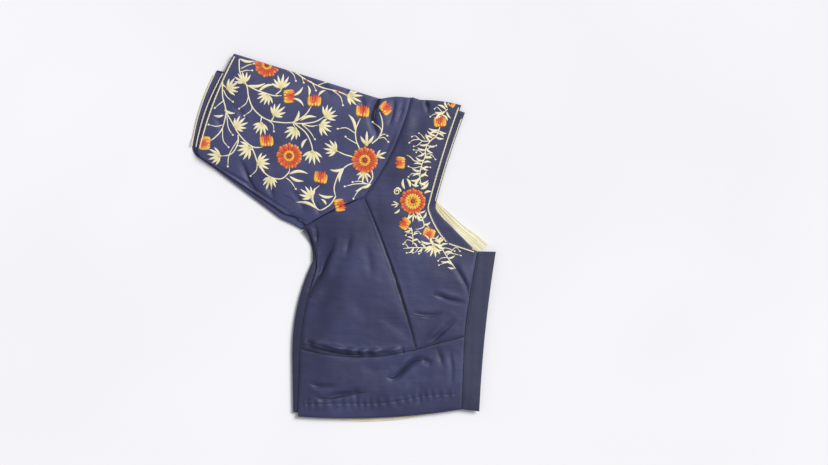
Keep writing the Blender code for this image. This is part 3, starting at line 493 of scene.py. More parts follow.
def satin_material(name, colours, roughness, sheen, weave_mm, turn=0.0):
    """Polyester satin, woven with long floats and pressed: soft broad highlights, and a faint crinkle
    with fine streaks along the weft. The weave is drawn coarser than its 0.1 mm so that it shows."""
    made, tree, shader = new_material(name)
    deep, light = colours
    place = add_node(tree, "ShaderNodeTexCoord").outputs["Object"]
    turned = add_node(
        tree, "ShaderNodeMapping", {"Rotation": (0, 0, math.radians(turn))}, {"Vector": place}
    )
    cloth = turned.outputs[0]
    broad = scaled_noise(tree, cloth, 60, detail=2.0)
    slub = scaled_noise(tree, cloth, 9, (0.25, 3.0, 1), detail=4.0)
    blend = add_node(
        tree, "ShaderNodeMath", {"operation": "MULTIPLY_ADD", 1: 0.28},
        {0: slub.outputs["Fac"], 2: broad.outputs["Fac"]},
    )
    tone = add_node(
        tree, "ShaderNodeMapRange", {"From Min": 0.42, "From Max": 0.86}, {"Value": blend.outputs[0]}
    )
    colour = ramp(tree, tone.outputs[0], ((0.0, deep), (1.0, light)))
    tree.links.new(colour.outputs[0], shader.inputs["Base Color"])
    rough = add_node(
        tree, "ShaderNodeMapRange",
        {"From Min": 0.3, "From Max": 0.7, "To Min": roughness - 0.04, "To Max": roughness + 0.05},
        {"Value": slub.outputs["Fac"]},
    )
    tree.links.new(rough.outputs[0], shader.inputs["Roughness"])
    weave = add_node(
        tree, "ShaderNodeTexWave",
        {
            "wave_type": "BANDS", "bands_direction": "DIAGONAL", "Scale": WAVE_SCALE / mm(weave_mm),
            "Distortion": 1.5, "Detail": 1.0, "Detail Scale": 1.0,
        },
        {"Vector": cloth},
    )
    crinkle = scaled_noise(tree, cloth, 22, (0.8, 1.6, 1), detail=3.0)
    fine = bumped(tree, weave.outputs["Fac"], 0.04, 0.6)
    streaks = bumped(tree, slub.outputs["Fac"], 0.16, 0.6, fine)
    creased = bumped(tree, crinkle.outputs["Fac"], 1.6, 0.55, streaks)
    tree.links.new(creased.outputs[0], shader.inputs["Normal"])
    set_shader(
        shader, Metallic=0.0, IOR=1.5, Specular_IOR_Level=0.42,
        Sheen_Weight=sheen, Sheen_Roughness=0.45, Sheen_Tint=linear("#8f93c4"),
    )
    return made


def cotton_material(name, colours, weave_mm):
    """Plain cotton lining: matte, with a visible square weave and slight creases."""
    made, tree, shader = new_material(name)
    deep, light = colours
    place = add_node(tree, "ShaderNodeTexCoord").outputs["Object"]
    cloudy = scaled_noise(tree, place, 16)
    colour = ramp(tree, cloudy.outputs["Fac"], ((0.3, deep), (0.7, light)))
    tree.links.new(colour.outputs[0], shader.inputs["Base Color"])
    threads = [
        add_node(
            tree, "ShaderNodeTexWave",
            {"bands_direction": direction, "Scale": WAVE_SCALE / mm(weave_mm), "Distortion": 0.8},
            {"Vector": place},
        ).outputs["Fac"]
        for direction in ("X", "Y")
    ]
    both = add_node(tree, "ShaderNodeMath", {"operation": "MAXIMUM"}, dict(enumerate(threads)))
    woven = bumped(tree, both.outputs[0], 0.08, 0.8)
    creased = bumped(tree, cloudy.outputs["Fac"], 0.6, 0.6, woven)
    tree.links.new(creased.outputs[0], shader.inputs["Normal"])
    set_shader(shader, Roughness=0.82, Sheen_Weight=0.2, Sheen_Roughness=0.5, Specular_IOR_Level=0.3)
    return made


def silk_thread_material(name, colours, strand_mm, slant, roughness=0.42, middle=0.5):
    """Rayon embroidery silk laid in parallel strands: a soft shine with a fine rib between strands.
    Tone follows the attribute 'tint'; the strands follow the stitch's own map, in millimetres."""
    made, tree, shader = new_material(name)
    stops = zip((0.0, middle, 1.0) if len(colours) == 3 else (0.0, 1.0), colours)
    tint = add_node(tree, "ShaderNodeAttribute", {"attribute_name": "tint"})
    strands_map = add_node(tree, "ShaderNodeUVMap", {"uv_map": "stitch"})
    parts = add_node(tree, "ShaderNodeSeparateXYZ", links={"Vector": strands_map.outputs[0]})
    across = add_node(tree, "ShaderNodeMath", {"operation": "ABSOLUTE"}, {0: parts.outputs["Y"]})
    leaning = add_node(
        tree, "ShaderNodeMath", {"operation": "MULTIPLY_ADD", 1: slant},
        {0: across.outputs[0], 2: parts.outputs["X"]},
    )
    phase = add_node(
        tree, "ShaderNodeMath", {"operation": "MULTIPLY", 1: 2 * math.pi / strand_mm},
        {0: leaning.outputs[0]},
    )
    rib = add_node(tree, "ShaderNodeMath", {"operation": "SINE"}, {0: phase.outputs[0]})
    # The rib also shifts the tone: painted shade between the strands, a little painted light on their crowns
    shade = add_node(
        tree, "ShaderNodeMapRange", {"From Min": -1.0, "From Max": 1.0, "To Min": -0.06, "To Max": 0.04},
        {"Value": rib.outputs[0]},
    )
    place = add_node(tree, "ShaderNodeTexCoord").outputs["Object"]
    flecks = scaled_noise(tree, place, 2.5, detail=2.0)
    fleck = add_node(
        tree, "ShaderNodeMapRange", {"From Min": 0.3, "From Max": 0.7, "To Min": -0.09, "To Max": 0.09},
        {"Value": flecks.outputs["Fac"]},
    )
    tone = tint.outputs["Fac"]
    for change in (shade, fleck):
        tone = add_node(
            tree, "ShaderNodeMath", {"operation": "ADD"}, {0: tone, 1: change.outputs[0]}
        ).outputs[0]
    colour = ramp(tree, tone, list(stops))
    tree.links.new(colour.outputs[0], shader.inputs["Base Color"])
    ribbed = bumped(tree, rib.outputs[0], 0.09, 0.7)
    tree.links.new(ribbed.outputs[0], shader.inputs["Normal"])
    set_shader(shader, Roughness=roughness, Sheen_Weight=0.15, Sheen_Roughness=0.4, Specular_IOR_Level=0.5)
    return made


def floor_material():
    """Matte white sheet under the garment: even and pale, with no gloss."""
    made, tree, shader = new_material("white backdrop sheet")
    place = add_node(tree, "ShaderNodeTexCoord").outputs["Object"]
    cloudy = scaled_noise(tree, place, 420, detail=2.0)
    colour = ramp(tree, cloudy.outputs["Fac"], ((0.3, "#e9e8eb"), (0.7, "#efeef1")))
    tree.links.new(colour.outputs[0], shader.inputs["Base Color"])
    set_shader(shader, Roughness=0.9, Specular_IOR_Level=0.1)
    return made


# Each finish: how it is made, its colours from the deepest to the lightest, and its settings
FINISHES = {
    # Body satin, pressed flat: a dull navy with broad soft highlights
    "satin": (
        satin_material, ("satin_deep", "satin_light"),
        {"roughness": 0.54, "sheen": 0.14, "weave_mm": 0.9},
    ),
    # The sleeve's satin, cut on its own grain: lighter colours than the body, painted light for its sheen
    "sleeve satin": (
        satin_material, ("sleeve_deep", "sleeve_light"),
        {"roughness": 0.52, "sheen": 0.16, "weave_mm": 0.9, "turn": -27},
    ),
    # Twill of the placket: firmer and more matte, with a coarser diagonal
    "twill": (
        satin_material, ("twill_deep", "twill_light"),
        {"roughness": 0.70, "sheen": 0.12, "weave_mm": 1.3},
    ),
    # The body's satin where it lies under other layers: the same satin in darker colours, painted shade
    "under satin": (
        satin_material, ("twill_deep", "satin_deep"),
        {"roughness": 0.50, "sheen": 0.15, "weave_mm": 0.9},
    ),
    # Cream cotton: matte, with its threads in sight
    "cotton lining": (cotton_material, ("lining_deep", "lining_light"), {"weave_mm": 0.9}),
    # Cream cotton cord: two plies of matte strands that lean along the twist
    "cotton cord": (
        silk_thread_material, ("cord_deep", "cord_light"),
        {"strand_mm": 1.1, "slant": 1.2, "roughness": 0.6},
    ),
    # Cream silk of stems and leaves: green at the root, nearly white at the tip
    "cream silk": (
        silk_thread_material, ("cream_shade", "cream_mid", "cream_light"),
        {"strand_mm": 0.7, "slant": 0.8, "middle": 0.45},
    ),
    # Orange silk of petals and buds: red at the heart, pale at the tip
    "orange silk": (
        silk_thread_material, ("orange_deep", "orange_mid", "orange_light"),
        {"strand_mm": 0.7, "slant": 0.5},
    ),
    # Yellow silk of the flowers' rings and the buds' roots: gold to straw
    "yellow silk": (
        silk_thread_material, ("yellow_deep", "yellow_mid", "yellow_light"),
        {"strand_mm": 0.7, "slant": 0.5},
    ),
    # Painted shade of seam ditches and deep folds: nearly black and without shine
    "navy fold": (
        silk_thread_material, ("fold_painted_shade", "satin_deep"),
        {"strand_mm": 0.9, "slant": 0.2, "roughness": 0.85},
    ),
    # Polyester sewing thread: a shade off the cloth, with a small shine
    "navy thread": (silk_thread_material, ("twill_deep", "satin_light"), {"strand_mm": 0.5, "slant": 0.6}),
}


def material(key):
    """The finish that goes by key, made when it is first asked for."""
    if key not in bpy.data.materials:
        looks = bpy.context.scene.choli_finish
        make, colours, settings = FINISHES[key]
        make(key, [getattr(looks, colour) for colour in colours], **settings)
    return bpy.data.materials[key]


def only(piece):
    """Makes piece the one selected and active object."""
    bpy.ops.object.select_all(action="DESELECT")
    piece.select_set(True)
    bpy.context.view_layer.objects.active = piece


def apply_modifier(piece, kind, **settings):
    only(piece)
    modifier = piece.modifiers.new(kind.lower(), kind)
    for name, value in settings.items():
        setattr(modifier, name, value)
    bpy.ops.object.modifier_apply(modifier=modifier.name)


def coordinates(piece):
    """The vertices of a piece, in millimetres."""
    flat = np.empty(len(piece.data.vertices) * 3, np.float32)
    piece.data.vertices.foreach_get("co", flat)
    return flat.reshape(-1, 3).astype(float) / MM


def place_vertices(piece, points):
    piece.data.vertices.foreach_set("co", (points * MM).astype(np.float32).ravel())
    piece.data.update()


def frame_outline(node):
    """The edge of the uppermost faces of a frame piece, as a closed run of points."""
    copy = bpy.data.objects.new("outline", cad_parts[node].data.copy())
    bpy.context.scene.collection.objects.link(copy)
    only(copy)
    bpy.context.tool_settings.mesh_select_mode = (False, False, True)
    bpy.ops.object.mode_set(mode="EDIT")
    bpy.ops.mesh.select_all(action="SELECT")
    bpy.ops.mesh.remove_doubles(threshold=mm(0.02))
    bpy.ops.object.mode_set(mode="OBJECT")
    tree = BVHTree.FromPolygons(
        [v.co for v in copy.data.vertices], [tuple(p.vertices) for p in copy.data.polygons]
    )
    for face in copy.data.polygons:
        hit = tree.ray_cast(face.center + mm(0.05) * face.normal, Vector((0, 0, 1)))[0]
        face.select = face.normal.z < 0.6 or hit is not None
    bpy.ops.object.mode_set(mode="EDIT")
    bpy.ops.mesh.delete(type="FACE")
    bpy.ops.object.mode_set(mode="OBJECT")
    loop = edge_loops(copy)[0]
    bpy.data.objects.remove(copy)
    return loop[:, :2]


def run_between(loop, start, end):
    """The shorter run of a closed line between the places nearest to two points."""
    first = np.argmin(np.hypot(*(loop - start).T))
    last = np.argmin(np.hypot(*(loop - end).T))
    forward = np.roll(loop, -first, axis=0)[: (last - first) % len(loop) + 1]
    backward = np.roll(loop[::-1], first + 1, axis=0)[: (first - last) % len(loop) + 1]
    return min(forward, backward, key=lambda r: np.sum(np.linalg.norm(np.diff(r, axis=0), axis=1)))


def lengths_along(line):
    """The length of a line from its start to each of its places."""
    return np.concatenate([[0], np.cumsum(np.linalg.norm(np.diff(line, axis=0), axis=1))])


def along_line(line, places):
    """The points of a line at some lengths from its start."""
    steps = lengths_along(line)
    return np.stack([np.interp(places, steps, line[:, 0]), np.interp(places, steps, line[:, 1])], axis=1)


def evenly(line, count):
    return along_line(line, np.linspace(0, lengths_along(line)[-1], count))


def leftward(line):
    """The way to the left at each place of a line."""
    ahead = np.gradient(line, axis=0)
    ahead /= np.maximum(np.linalg.norm(ahead, axis=1), 1e-6)[:, None]
    return np.stack([-ahead[:, 1], ahead[:, 0]], axis=1)


def widths_along(line, widths):
    """Widths given at even steps, read at each place of a line."""
    return np.interp(np.linspace(0, 1, len(line)), np.linspace(0, 1, len(widths)), widths)


def heading(turn):
    """The steps ahead and to the left for a direction in degrees."""
    a = math.radians(turn)
    return np.array((math.cos(a), math.sin(a))), np.array((-math.sin(a), math.cos(a)))


def side_places(loop, side):
    """The places of a grid's vertices along one side of a sheet."""
    here, *runs = side
    places = []
    for cells, corner in runs:
        run = smooth_line(run_between(loop, here, corner), 0.8)
        places.append(evenly(run, cells + 1)[:-1])
        here = corner
    return np.vstack([*places, run[-1:]])


def smoothed(grid, reach):
    """Heights of a grid, averaged over reach cells each way, with its edges held."""
    kernel = np.exp(-0.5 * (np.arange(-reach, reach + 1) / (0.5 * reach)) ** 2)
    kernel /= kernel.sum()
    for axis in (0, 1):
        padding = [(reach, reach) if axis == i else (0, 0) for i in (0, 1)]
        padded = np.pad(grid, padding, mode="reflect", reflect_type="odd")
        grid = np.apply_along_axis(np.convolve, axis, padded, kernel, mode="valid")
    return grid


def heights(node, plan, shape, reach, below=False):
    """Heights of a frame piece's upper or lower skin at each place, its facets smoothed away."""
    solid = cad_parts[node].data
    tree = BVHTree.FromPolygons([v.co for v in solid.vertices], [tuple(p.vertices) for p in solid.polygons])
    start, way = (-HIGH, 1) if below else (HIGH, -1)
    middle = plan.mean(axis=0)
    found = []
    for x, y in plan:
        for pull in (0.0, 0.002, 0.006, 0.02):
            px, py = (x, y) + pull * (middle - (x, y))
            hit = tree.ray_cast(Vector((mm(px), mm(py), start)), Vector((0, 0, way)))[0]
            if hit:
                break
        found.append((hit or tree.find_nearest(Vector((mm(x), mm(y), mm(5))))[0]).z / MM)
    return smoothed(np.array(found).reshape(shape), reach).ravel()


def cloth_sheet(node, name, reach=9):
    """A smooth even sheet over a frame piece: a grid fitted between its four sides."""
    loop = frame_outline(node)
    foot, front, head, back = (side_places(loop, side) for side in SHAPES[node])
    columns, rows = len(foot), len(back)
    bpy.ops.object.select_all(action="DESELECT")
    bpy.ops.mesh.primitive_grid_add(x_subdivisions=columns - 1, y_subdivisions=rows - 1, size=1.0)
    piece = bpy.context.active_object
    piece.name = name
    flat = coordinates(piece) * MM + 0.5
    u, v = flat[:, :1], flat[:, 1:2]
    column = np.rint(flat[:, 0] * (columns - 1)).astype(int)
    row = np.rint(flat[:, 1] * (rows - 1)).astype(int)
    corner = (1 - u) * (1 - v) * foot[0] + u * (1 - v) * foot[-1] + (1 - u) * v * head[0] + u * v * head[-1]
    plan = (1 - v) * foot[column] + v * head[column] + (1 - u) * back[row] + u * front[row] - corner
    order = np.lexsort((column, row))
    levels = np.empty(len(plan))
    levels[order] = heights(node, plan[order], (rows, columns), reach)
    place_vertices(piece, np.column_stack([plan, levels]))
    return piece, column, order, (rows, columns)


def flat_tube(node, name):
    """A sleeve pressed flat, open at both ends: two even walls of cloth joined at their folds."""
    piece, column, order, shape = cloth_sheet(node, name, 5)
    points = coordinates(piece)
    lower = points.copy()
    lower[order, 2] = heights(node, points[order, :2], shape, 5, below=True) + 0.1
    apply_modifier(piece, "SOLIDIFY", thickness=mm(2.5), offset=-1.0)
    place_vertices(piece, np.vstack([points, lower]))
    ends = (0, shape[1] - 1)
    for face in piece.data.polygons:
        tops = [i for i in face.vertices if i < len(points)]
        face.select = len(tops) == 2 and column[tops[0]] == column[tops[1]] and column[tops[0]] in ends
    bpy.context.tool_settings.mesh_select_mode = (False, False, True)
    bpy.ops.object.mode_set(mode="EDIT")
    bpy.ops.mesh.delete(type="FACE")
    bpy.ops.object.mode_set(mode="OBJECT")
    apply_modifier(piece, "SUBSURF", levels=1, render_levels=1, boundary_smooth="PRESERVE_CORNERS")
    return piece


def edge_loops(piece):
    """The open edges of a sheet, each as a closed run of points."""
    bm = bmesh.new()
    bm.from_mesh(piece.data)
    ahead = {}
    for edge in bm.edges:
        if edge.is_boundary:
            loop = edge.link_loops[0]
            ahead.setdefault(loop.vert.index, []).append(loop.link_loop_next.vert.index)
    points = {v.index: v.co.copy() / MM for v in bm.verts}
    bm.free()
    loops = []
    while ahead:
        start = next(iter(ahead))
        run = []
        here = start
        while here in ahead:
            run.append(here)
            following = ahead[here].pop()
            if not ahead[here]:
                del ahead[here]
            here = following
        loops.append(np.array([points[i] for i in run]))
    return sorted(loops, key=len, reverse=True)


def edge_distance(points, loops):
    """How far each point is from the nearest open edge, in plan."""
    edges = np.concatenate(loops)
    tree = KDTree(len(edges))
    for number, point in enumerate(edges):
        tree.insert((point[0], point[1], 0), number)
    tree.balance()
    return np.array([tree.find((x, y, 0))[2] for x, y, _ in points])


def polyline(points, line):
    """Signed distance of each point to a bent line, left positive, and the share of its length."""
    line = np.array(line, float)
    lengths = np.linalg.norm(np.diff(line, axis=0), axis=1)
    starts = np.concatenate([[0], np.cumsum(lengths)])
    best = np.full(len(points), 1e9)
    signed = np.zeros(len(points))
    share = np.zeros(len(points))
    for i, length in enumerate(lengths):
        ahead = (line[i + 1] - line[i]) / length
        along = np.clip((points[:, :2] - line[i]) @ ahead, 0, length)
        away = points[:, :2] - line[i] - along[:, None] * ahead
        distance = np.hypot(away[:, 0], away[:, 1])
        side = np.sign(ahead[0] * away[:, 1] - ahead[1] * away[:, 0])
        nearer = distance < best
        best[nearer] = distance[nearer]
        signed[nearer] = (side * distance)[nearer]
        share[nearer] = ((starts[i] + along) / starts[-1])[nearer]
    return signed, share


def smooth_line(line, step=1.5):
    """A smooth curve through points, with one place every step."""
    line = np.array(line, float)
    padded = np.vstack([2 * line[0] - line[1], line, 2 * line[-1] - line[-2]])
    out = []
    for a, b, c, d in zip(padded, padded[1:], padded[2:], padded[3:]):
        count = max(2, int(np.ceil(np.linalg.norm(c - b) / step)))
        for t in np.arange(count) / count:
            cubic = 3 * b - a - 3 * c + d
            square = 2 * a - 5 * b + 4 * c - d
            out.append(0.5 * (2 * b + (c - a) * t + square * t**2 + cubic * t**3))
    out.append(line[-1])
    return np.array(out)


def crease_height(points, creases, strength):
    """The sum of soft troughs and ridges, each fading and varying along its length."""
    total = np.zeros(len(points))
    for number, (line, left, right, rise) in enumerate(creases.values()):
        signed, share = polyline(points, smooth_line(line, 3.0))
        reach = np.where(signed > 0, left, right)
        fade = np.sin(math.pi * (0.02 + 0.96 * share)) ** 1.1
        uneven = 1 + 0.25 * np.sin(7.0 * share + number) * np.cos(3.0 * share + 2.0 * number)
        total += rise * fade * uneven * np.exp(-((signed / reach) ** 2))
    return total * strength


def rumple(points, size, seed):
    """Smooth unevenness from -1 to 1 with features about size across."""
    offset = Vector((seed * 17.3, seed * 5.1, seed * 2.7))
    return np.array([noise.noise(Vector((x, y, 0)) / size + offset) for x, y, _ in points])


def sag_waist_puckers(points):
    """Short pulled puckers along the waist seam and the hem's stitches."""
    total = np.zeros(len(points))
    for line, pitch, reach, rise in PUCKERS:
        signed, share = polyline(points, smooth_line(line, 4.0))
        along = share * lengths_along(np.array(line, float))[-1]
        waves = np.sin(2 * math.pi * along / pitch + 1.7 * np.sin(along / 11.0))
        total += rise * waves * np.exp(-((signed / reach) ** 2)) * (share > 0.01) * (share < 0.99)
    signed, share = polyline(points, smooth_line(HEM_STITCHES, 4.0))
    return total - 0.45 * np.exp(-((signed / 1.1) ** 2))


def thicken(piece, wall):
    apply_modifier(piece, "SOLIDIFY", thickness=mm(wall), offset=-1.0)
    piece.data.shade_smooth()
    piece.data.set_sharp_from_angle(angle=math.radians(60))


def finish_piece(piece, key, slot, *nodes):
    """Gives a piece its finish and its place on the blouse."""
    piece.data.materials.clear()
    piece.data.materials.append(material(key))
    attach(piece, "root")
    if nodes:
        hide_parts(*nodes)
    return piece


def sew(piece, points, wall):
    """Places a sheet's vertices, keeps its open edges and thickens it: returns its area in square metres."""
    place_vertices(piece, points)
    EDGES[piece.name] = edge_loops(piece)
    area = sum(face.area for face in piece.data.polygons)
    thicken(piece, wall)
    return area


def cloth_tree(names):
    """A search tree over finished cloth, to lay things on it."""
    places, faces = [], []
    for name in names:
        mesh = bpy.data.objects[name].data
        start = len(places)
        places += [v.co.copy() for v in mesh.vertices]
        faces += [tuple(start + i for i in face.vertices) for face in mesh.polygons]
    return BVHTree.FromPolygons(places, faces)


def cloth_under(tree, x, y):
    """The place on a tree of cloth straight under a point, or None."""
    return tree.ray_cast(Vector((mm(x), mm(y), HIGH)), Vector((0, 0, -1)))[0]


def cloth_near(tree, x, y, level):
    """The place on a tree of cloth nearest to a point at a level."""
    return tree.find_nearest(Vector((mm(x), mm(y), mm(level))))[0]


def thread_piece(name, places, faces, stitch_map, tints):
    """A piece of thread from its vertices in metres, with its stitch map and the tone at each vertex."""
    mesh = bpy.data.meshes.new(name)
    mesh.from_pydata(places, [], faces)
    layer = mesh.uv_layers.new(name="stitch")
    corners = np.empty(len(mesh.loops), np.int32)
    mesh.loops.foreach_get("vertex_index", corners)
    layer.data.foreach_set("uv", np.array(stitch_map)[corners].astype(np.float32).ravel())
    tint = mesh.attributes.new("tint", "FLOAT", "POINT")
    tint.data.foreach_set("value", np.array(tints, np.float32))
    mesh.shade_smooth()
    piece = bpy.data.objects.new(name, mesh)
    bpy.context.scene.collection.objects.link(piece)
    return piece


class Needlework:
    """Collects raised stitches, then lays them on the cloth as one mesh."""

    def __init__(self):
        self.places, self.faces, self.map, self.tints, self.starts = [], [], [], [], [0]

    def stroke(self, line, widths, rise, tint):
        """A domed stitch along a line: widths, rise and tint may vary along it."""
        line = np.array(line, float)
        count = len(line)
        widths = np.broadcast_to(widths, count)
        tint = np.broadcast_to(tint, count)
        rise = np.broadcast_to(rise, count) * np.clip(widths / max(widths.max(), 0.01), 0.25, 1) ** 0.6
        aside = leftward(line)
        along = lengths_along(line)
        turns = np.radians(np.array((-18, 18, 54, 90, 126, 162, 198)))
        start = len(self.places)
        sides = len(turns)
        for i in range(count):
            half = widths[i] / 2
            for turn in turns:
                x, y = line[i] - aside[i] * half * math.cos(turn)
                self.places.append((x, y, rise[i] * max(math.sin(turn), -0.6)))
                self.map.append((along[i], -half * math.cos(turn)))
                self.tints.append(tint[i])
        for i in range(count - 1):
            for j in range(sides):
                k = (j + 1) % sides
                a, b = start + i * sides, start + (i + 1) * sides
                self.faces.append((a + j, a + k, b + k, b + j))
        self.faces.append(tuple(start + j for j in reversed(range(sides))))
        self.faces.append(tuple(start + (count - 1) * sides + j for j in range(sides)))
        self.starts.append(len(self.places))

    def leaf(self, x, y, turn, length, width, bend=0.12, rise=0.55, tint=(0.55, 0.85)):
        """A pointed leaf from its root at x, y, with a slight curve."""
        t = np.linspace(0, 1, 9)
        ahead, left = heading(turn)
        line = np.array((x, y)) + length * (t[:, None] * ahead + bend * np.sin(math.pi * t)[:, None] * left)
        widths = width * np.maximum(np.sin(math.pi * t**0.85) ** 0.8, 0.12)
        self.stroke(line, widths, rise, np.linspace(*tint, 9))

    def stem(self, line, width, tint=0.75):
        line = smooth_line(line, 1.4)
        taper = np.clip(np.arange(len(line))[::-1] / 4, 0.55, 1)
        self.stroke(line, width * taper, 0.5, tint)

    def knot(self, x, y, size, tint=0.8, rise=0.8):
        t = np.linspace(-1, 1, 6)
        widths = size * np.sqrt(np.maximum(1 - t * t, 0.04))
        line = np.stack([x + t * size / 2, np.full(6, y)], axis=1)
        self.stroke(line, widths, rise, tint)

    def lay(self, name, tree, key, slot, lowest=2.0):
        """Drops every stitch on the cloth; a stitch that misses it mostly is left off."""
        points = np.array(self.places)
        levels = np.empty(len(points))
        missed = np.zeros(len(points), bool)
        for i, (x, y, _) in enumerate(points):
            hit = cloth_under(tree, x, y)
            if hit is None or hit.z < mm(lowest):
                near = cloth_near(tree, x, y, 7.0)
                points[i, :2] = near.x / MM, near.y / MM
                levels[i], missed[i] = near.z / MM, True
            else:
                levels[i] = hit.z / MM
        points[:, 2] += levels
        dropped = set()
        for first, last in zip(self.starts, self.starts[1:]):
            if missed[first:last].mean() > 0.4:
                dropped.update(range(first, last))
        faces = [face for face in self.faces if face[0] not in dropped]
        used = sorted({i for face in faces for i in face})
        number = {old: new for new, old in enumerate(used)}
        piece = thread_piece(
            name, points[used] * MM, [tuple(number[i] for i in face) for face in faces],
            np.array(self.map)[used], np.array(self.tints)[used],
        )
        return finish_piece(piece, key, slot)


def sew_fan(cream, x, y, turn, reach, petals, wobble):
    """A hand of petals spread from one root, with a greener heart."""
    petals = min(petals, 6)
    spread = 122 if petals > 4 else 74
    for i in range(petals):
        share = i / (petals - 1) - 0.5
        length = reach * (0.98 - 0.9 * share * share + 0.08 * math.sin(5.1 * i + wobble))
        cream.leaf(x, y, turn + spread * share, length, 0.215 * reach, 0.12 * share, 0.6, (0.25, 0.95))
    cream.knot(x, y, 0.26 * reach, 0.2, 0.7)


def sew_bud(orange, yellow, x, y, turn, size):
    """A square bud: short petals fanned from a gold root, red at the heart, gold at one side."""
    ahead, left = heading(turn)
    root = np.array((x, y)) - 0.42 * size * ahead
    t = np.linspace(0, 1, 8)
    lean = math.sin(1.3 * x + y)
    petals = ((-0.50, 0.75), (-0.30, 0.35), (-0.10, 0.05), (0.12, 0.0), (0.32, 0.45), (0.50, 0.9))
    for i, (aside, tone) in enumerate(petals):
        tone = tone if lean > 0 else petals[5 - i][1]
        start = root + aside * 0.78 * size * left + 0.9 * aside * aside * size * 0.35 * ahead
        length = size * (0.9 + 0.06 * (i % 2) - 0.8 * aside * aside + 0.04 * math.sin(2.0 * i + x))
        line = start + length * t[:, None] * (ahead + (0.1 * aside + 0.08 * lean) * left)
        widths = 0.21 * size * (0.85 + 0.3 * np.sin(math.pi * np.minimum(t * 1.1, 1)))
        widths[-2:] *= (0.8, 0.35)
        if tone > 0.7:
            yellow.stroke(line, widths, 0.62, np.linspace(0.7, 0.15, 8))
        else:
            orange.stroke(line, widths, 0.66, np.linspace(min(tone + 0.5, 1), tone, 8))
    for i, aside in enumerate((-0.34, -0.12, 0.12, 0.34)):
        start = root + aside * size * left
        line = start + (0.30 + 0.12 * (i % 2)) * size * t[:, None] * (ahead - 0.3 * aside * left)
        yellow.stroke(line, 0.2 * size * np.maximum(np.sin(math.pi * t), 0.2), 0.85, 0.75)
    for aside in (-0.16, 0.14):
        start = root + 0.5 * size * ahead + aside * size * left
        line = start + 0.26 * size * t[:, None] * (0.6 * ahead - 1.4 * aside * left)
        orange.stroke(line, 0.13 * size * np.maximum(np.sin(math.pi * t), 0.2), 0.95, 0.0)


def sew_flower(orange, yellow, x, y, size, yellow_share):
    """A round flower: two rings of orange petals with pale tips, a yellow ring and a knotted heart."""
    radius = size / 2
    petals = 24
    for i in range(petals):
        a = 2 * math.pi * (i + 0.08 * math.sin(3 * i)) / petals
        ahead = np.array((math.cos(a), math.sin(a)))
        t = np.linspace(0, 1, 6)
        inner, outer = yellow_share * 0.86 * radius, radius * (0.96 + 0.05 * math.sin(2.3 * i))
        line = np.array((x, y)) + (inner + (outer - inner) * t[:, None]) * ahead
        widths = 2 * math.pi * (inner + (outer - inner) * t) / petals * 1.22
        widths[-1] *= 0.5
        tones = (0.35, 0.15, 0.12, 0.3, 0.75, 1.0) if i % 2 else (0.3, 0.1, 0.1, 0.2, 0.4, 0.9)
        orange.stroke(line, widths, 0.75, tones)
    ring = 18
    for i in range(ring):
        a = 2 * math.pi * (i + 0.5) / ring
        ahead = np.array((math.cos(a), math.sin(a)))
        t = np.linspace(0, 1, 5)
        inner, outer = 0.16 * radius, yellow_share * radius
        line = np.array((x, y)) + (inner + (outer - inner) * t[:, None]) * ahead
        widths = 2 * math.pi * (inner + (outer - inner) * t) / ring * 1.05
        widths[-1] *= 0.5
        yellow.stroke(line, widths, 0.85, np.linspace(0.35, 0.9, 5))
    for i in range(9):
        a = 2 * math.pi * i / 9
        far = yellow_share * 0.5 * radius
        orange.knot(x + far * math.cos(a), y + far * math.sin(a), 1.7, 0.0, 1.3)
    orange.knot(x, y, 0.2 * radius + 0.8, 0.0, 1.3)


def sew_design(stems, twigs, fans, buds, flowers, leaves, stem_width):
    """One whole design, as cream, orange and yellow needlework."""
    cream, orange, yellow = Needlework(), Needlework(), Needlework()
    for line in stems:
        cream.stem(line, stem_width)
    for line in twigs:
        cream.stem(line, 0.75 * stem_width, 0.8)
        cream.knot(*line[-1], 2.6 * stem_width / 1.6)
    for number, (x, y, turn, reach, petals) in enumerate(fans):
        sew_fan(cream, x, y, turn, reach, petals, number)
    for number, (x, y, turn, length, width) in enumerate(leaves):
        cream.leaf(x, y, turn, length, 0.86 * width, 0.14 if number % 2 else -0.12)
    for x, y, turn, size in buds:
        sew_bud(orange, yellow, x, y, turn, size)
    for x, y, size, yellow_share in flowers:
        sew_flower(orange, yellow, x, y, size, yellow_share)
    return cream, orange, yellow


def twisted_cord(name, route, radius, tree):
    """A two-ply cord laid along a route on the cloth."""
    line = smooth_line(route, CORD_STEP)
    aside = leftward(line)
    levels = [(cloth_under(tree, x, y) or cloth_near(tree, x, y, 6)).z / MM for x, y in line]
    levels = np.convolve(np.pad(levels, 6, mode="edge"), np.ones(13) / 13, mode="valid") + CORD_LIFT * radius
    places, faces, stitch_map, tints = [], [], [], []
    for i, (x, y) in enumerate(line):
        along = i * CORD_STEP
        for j in range(CORD_SIDES):
            turn = 2 * math.pi * j / CORD_SIDES
            ply = math.cos(2 * (turn - math.pi * along / CORD_PITCH))
            far = radius * (1 + CORD_PLY * ply)
            px, py = np.array((x, y)) - aside[i] * far * math.cos(turn)
            places.append((mm(px), mm(py), mm(levels[i] + far * math.sin(turn))))
            stitch_map.append((along, turn * radius))
            # Tone follows the ply: painted shade in the grooves between plies, painted light on their crests
            tints.append(0.5 + 0.4 * ply)
    for first in range(0, (len(line) - 1) * CORD_SIDES, CORD_SIDES):
        for j in range(CORD_SIDES):
            k = (j + 1) % CORD_SIDES
            faces.append((first + j, first + k, first + CORD_SIDES + k, first + CORD_SIDES + j))
    faces.append(tuple(reversed(range(CORD_SIDES))))
    faces.append(tuple((len(line) - 1) * CORD_SIDES + j for j in range(CORD_SIDES)))
    return thread_piece(name, places, faces, stitch_map, tints)


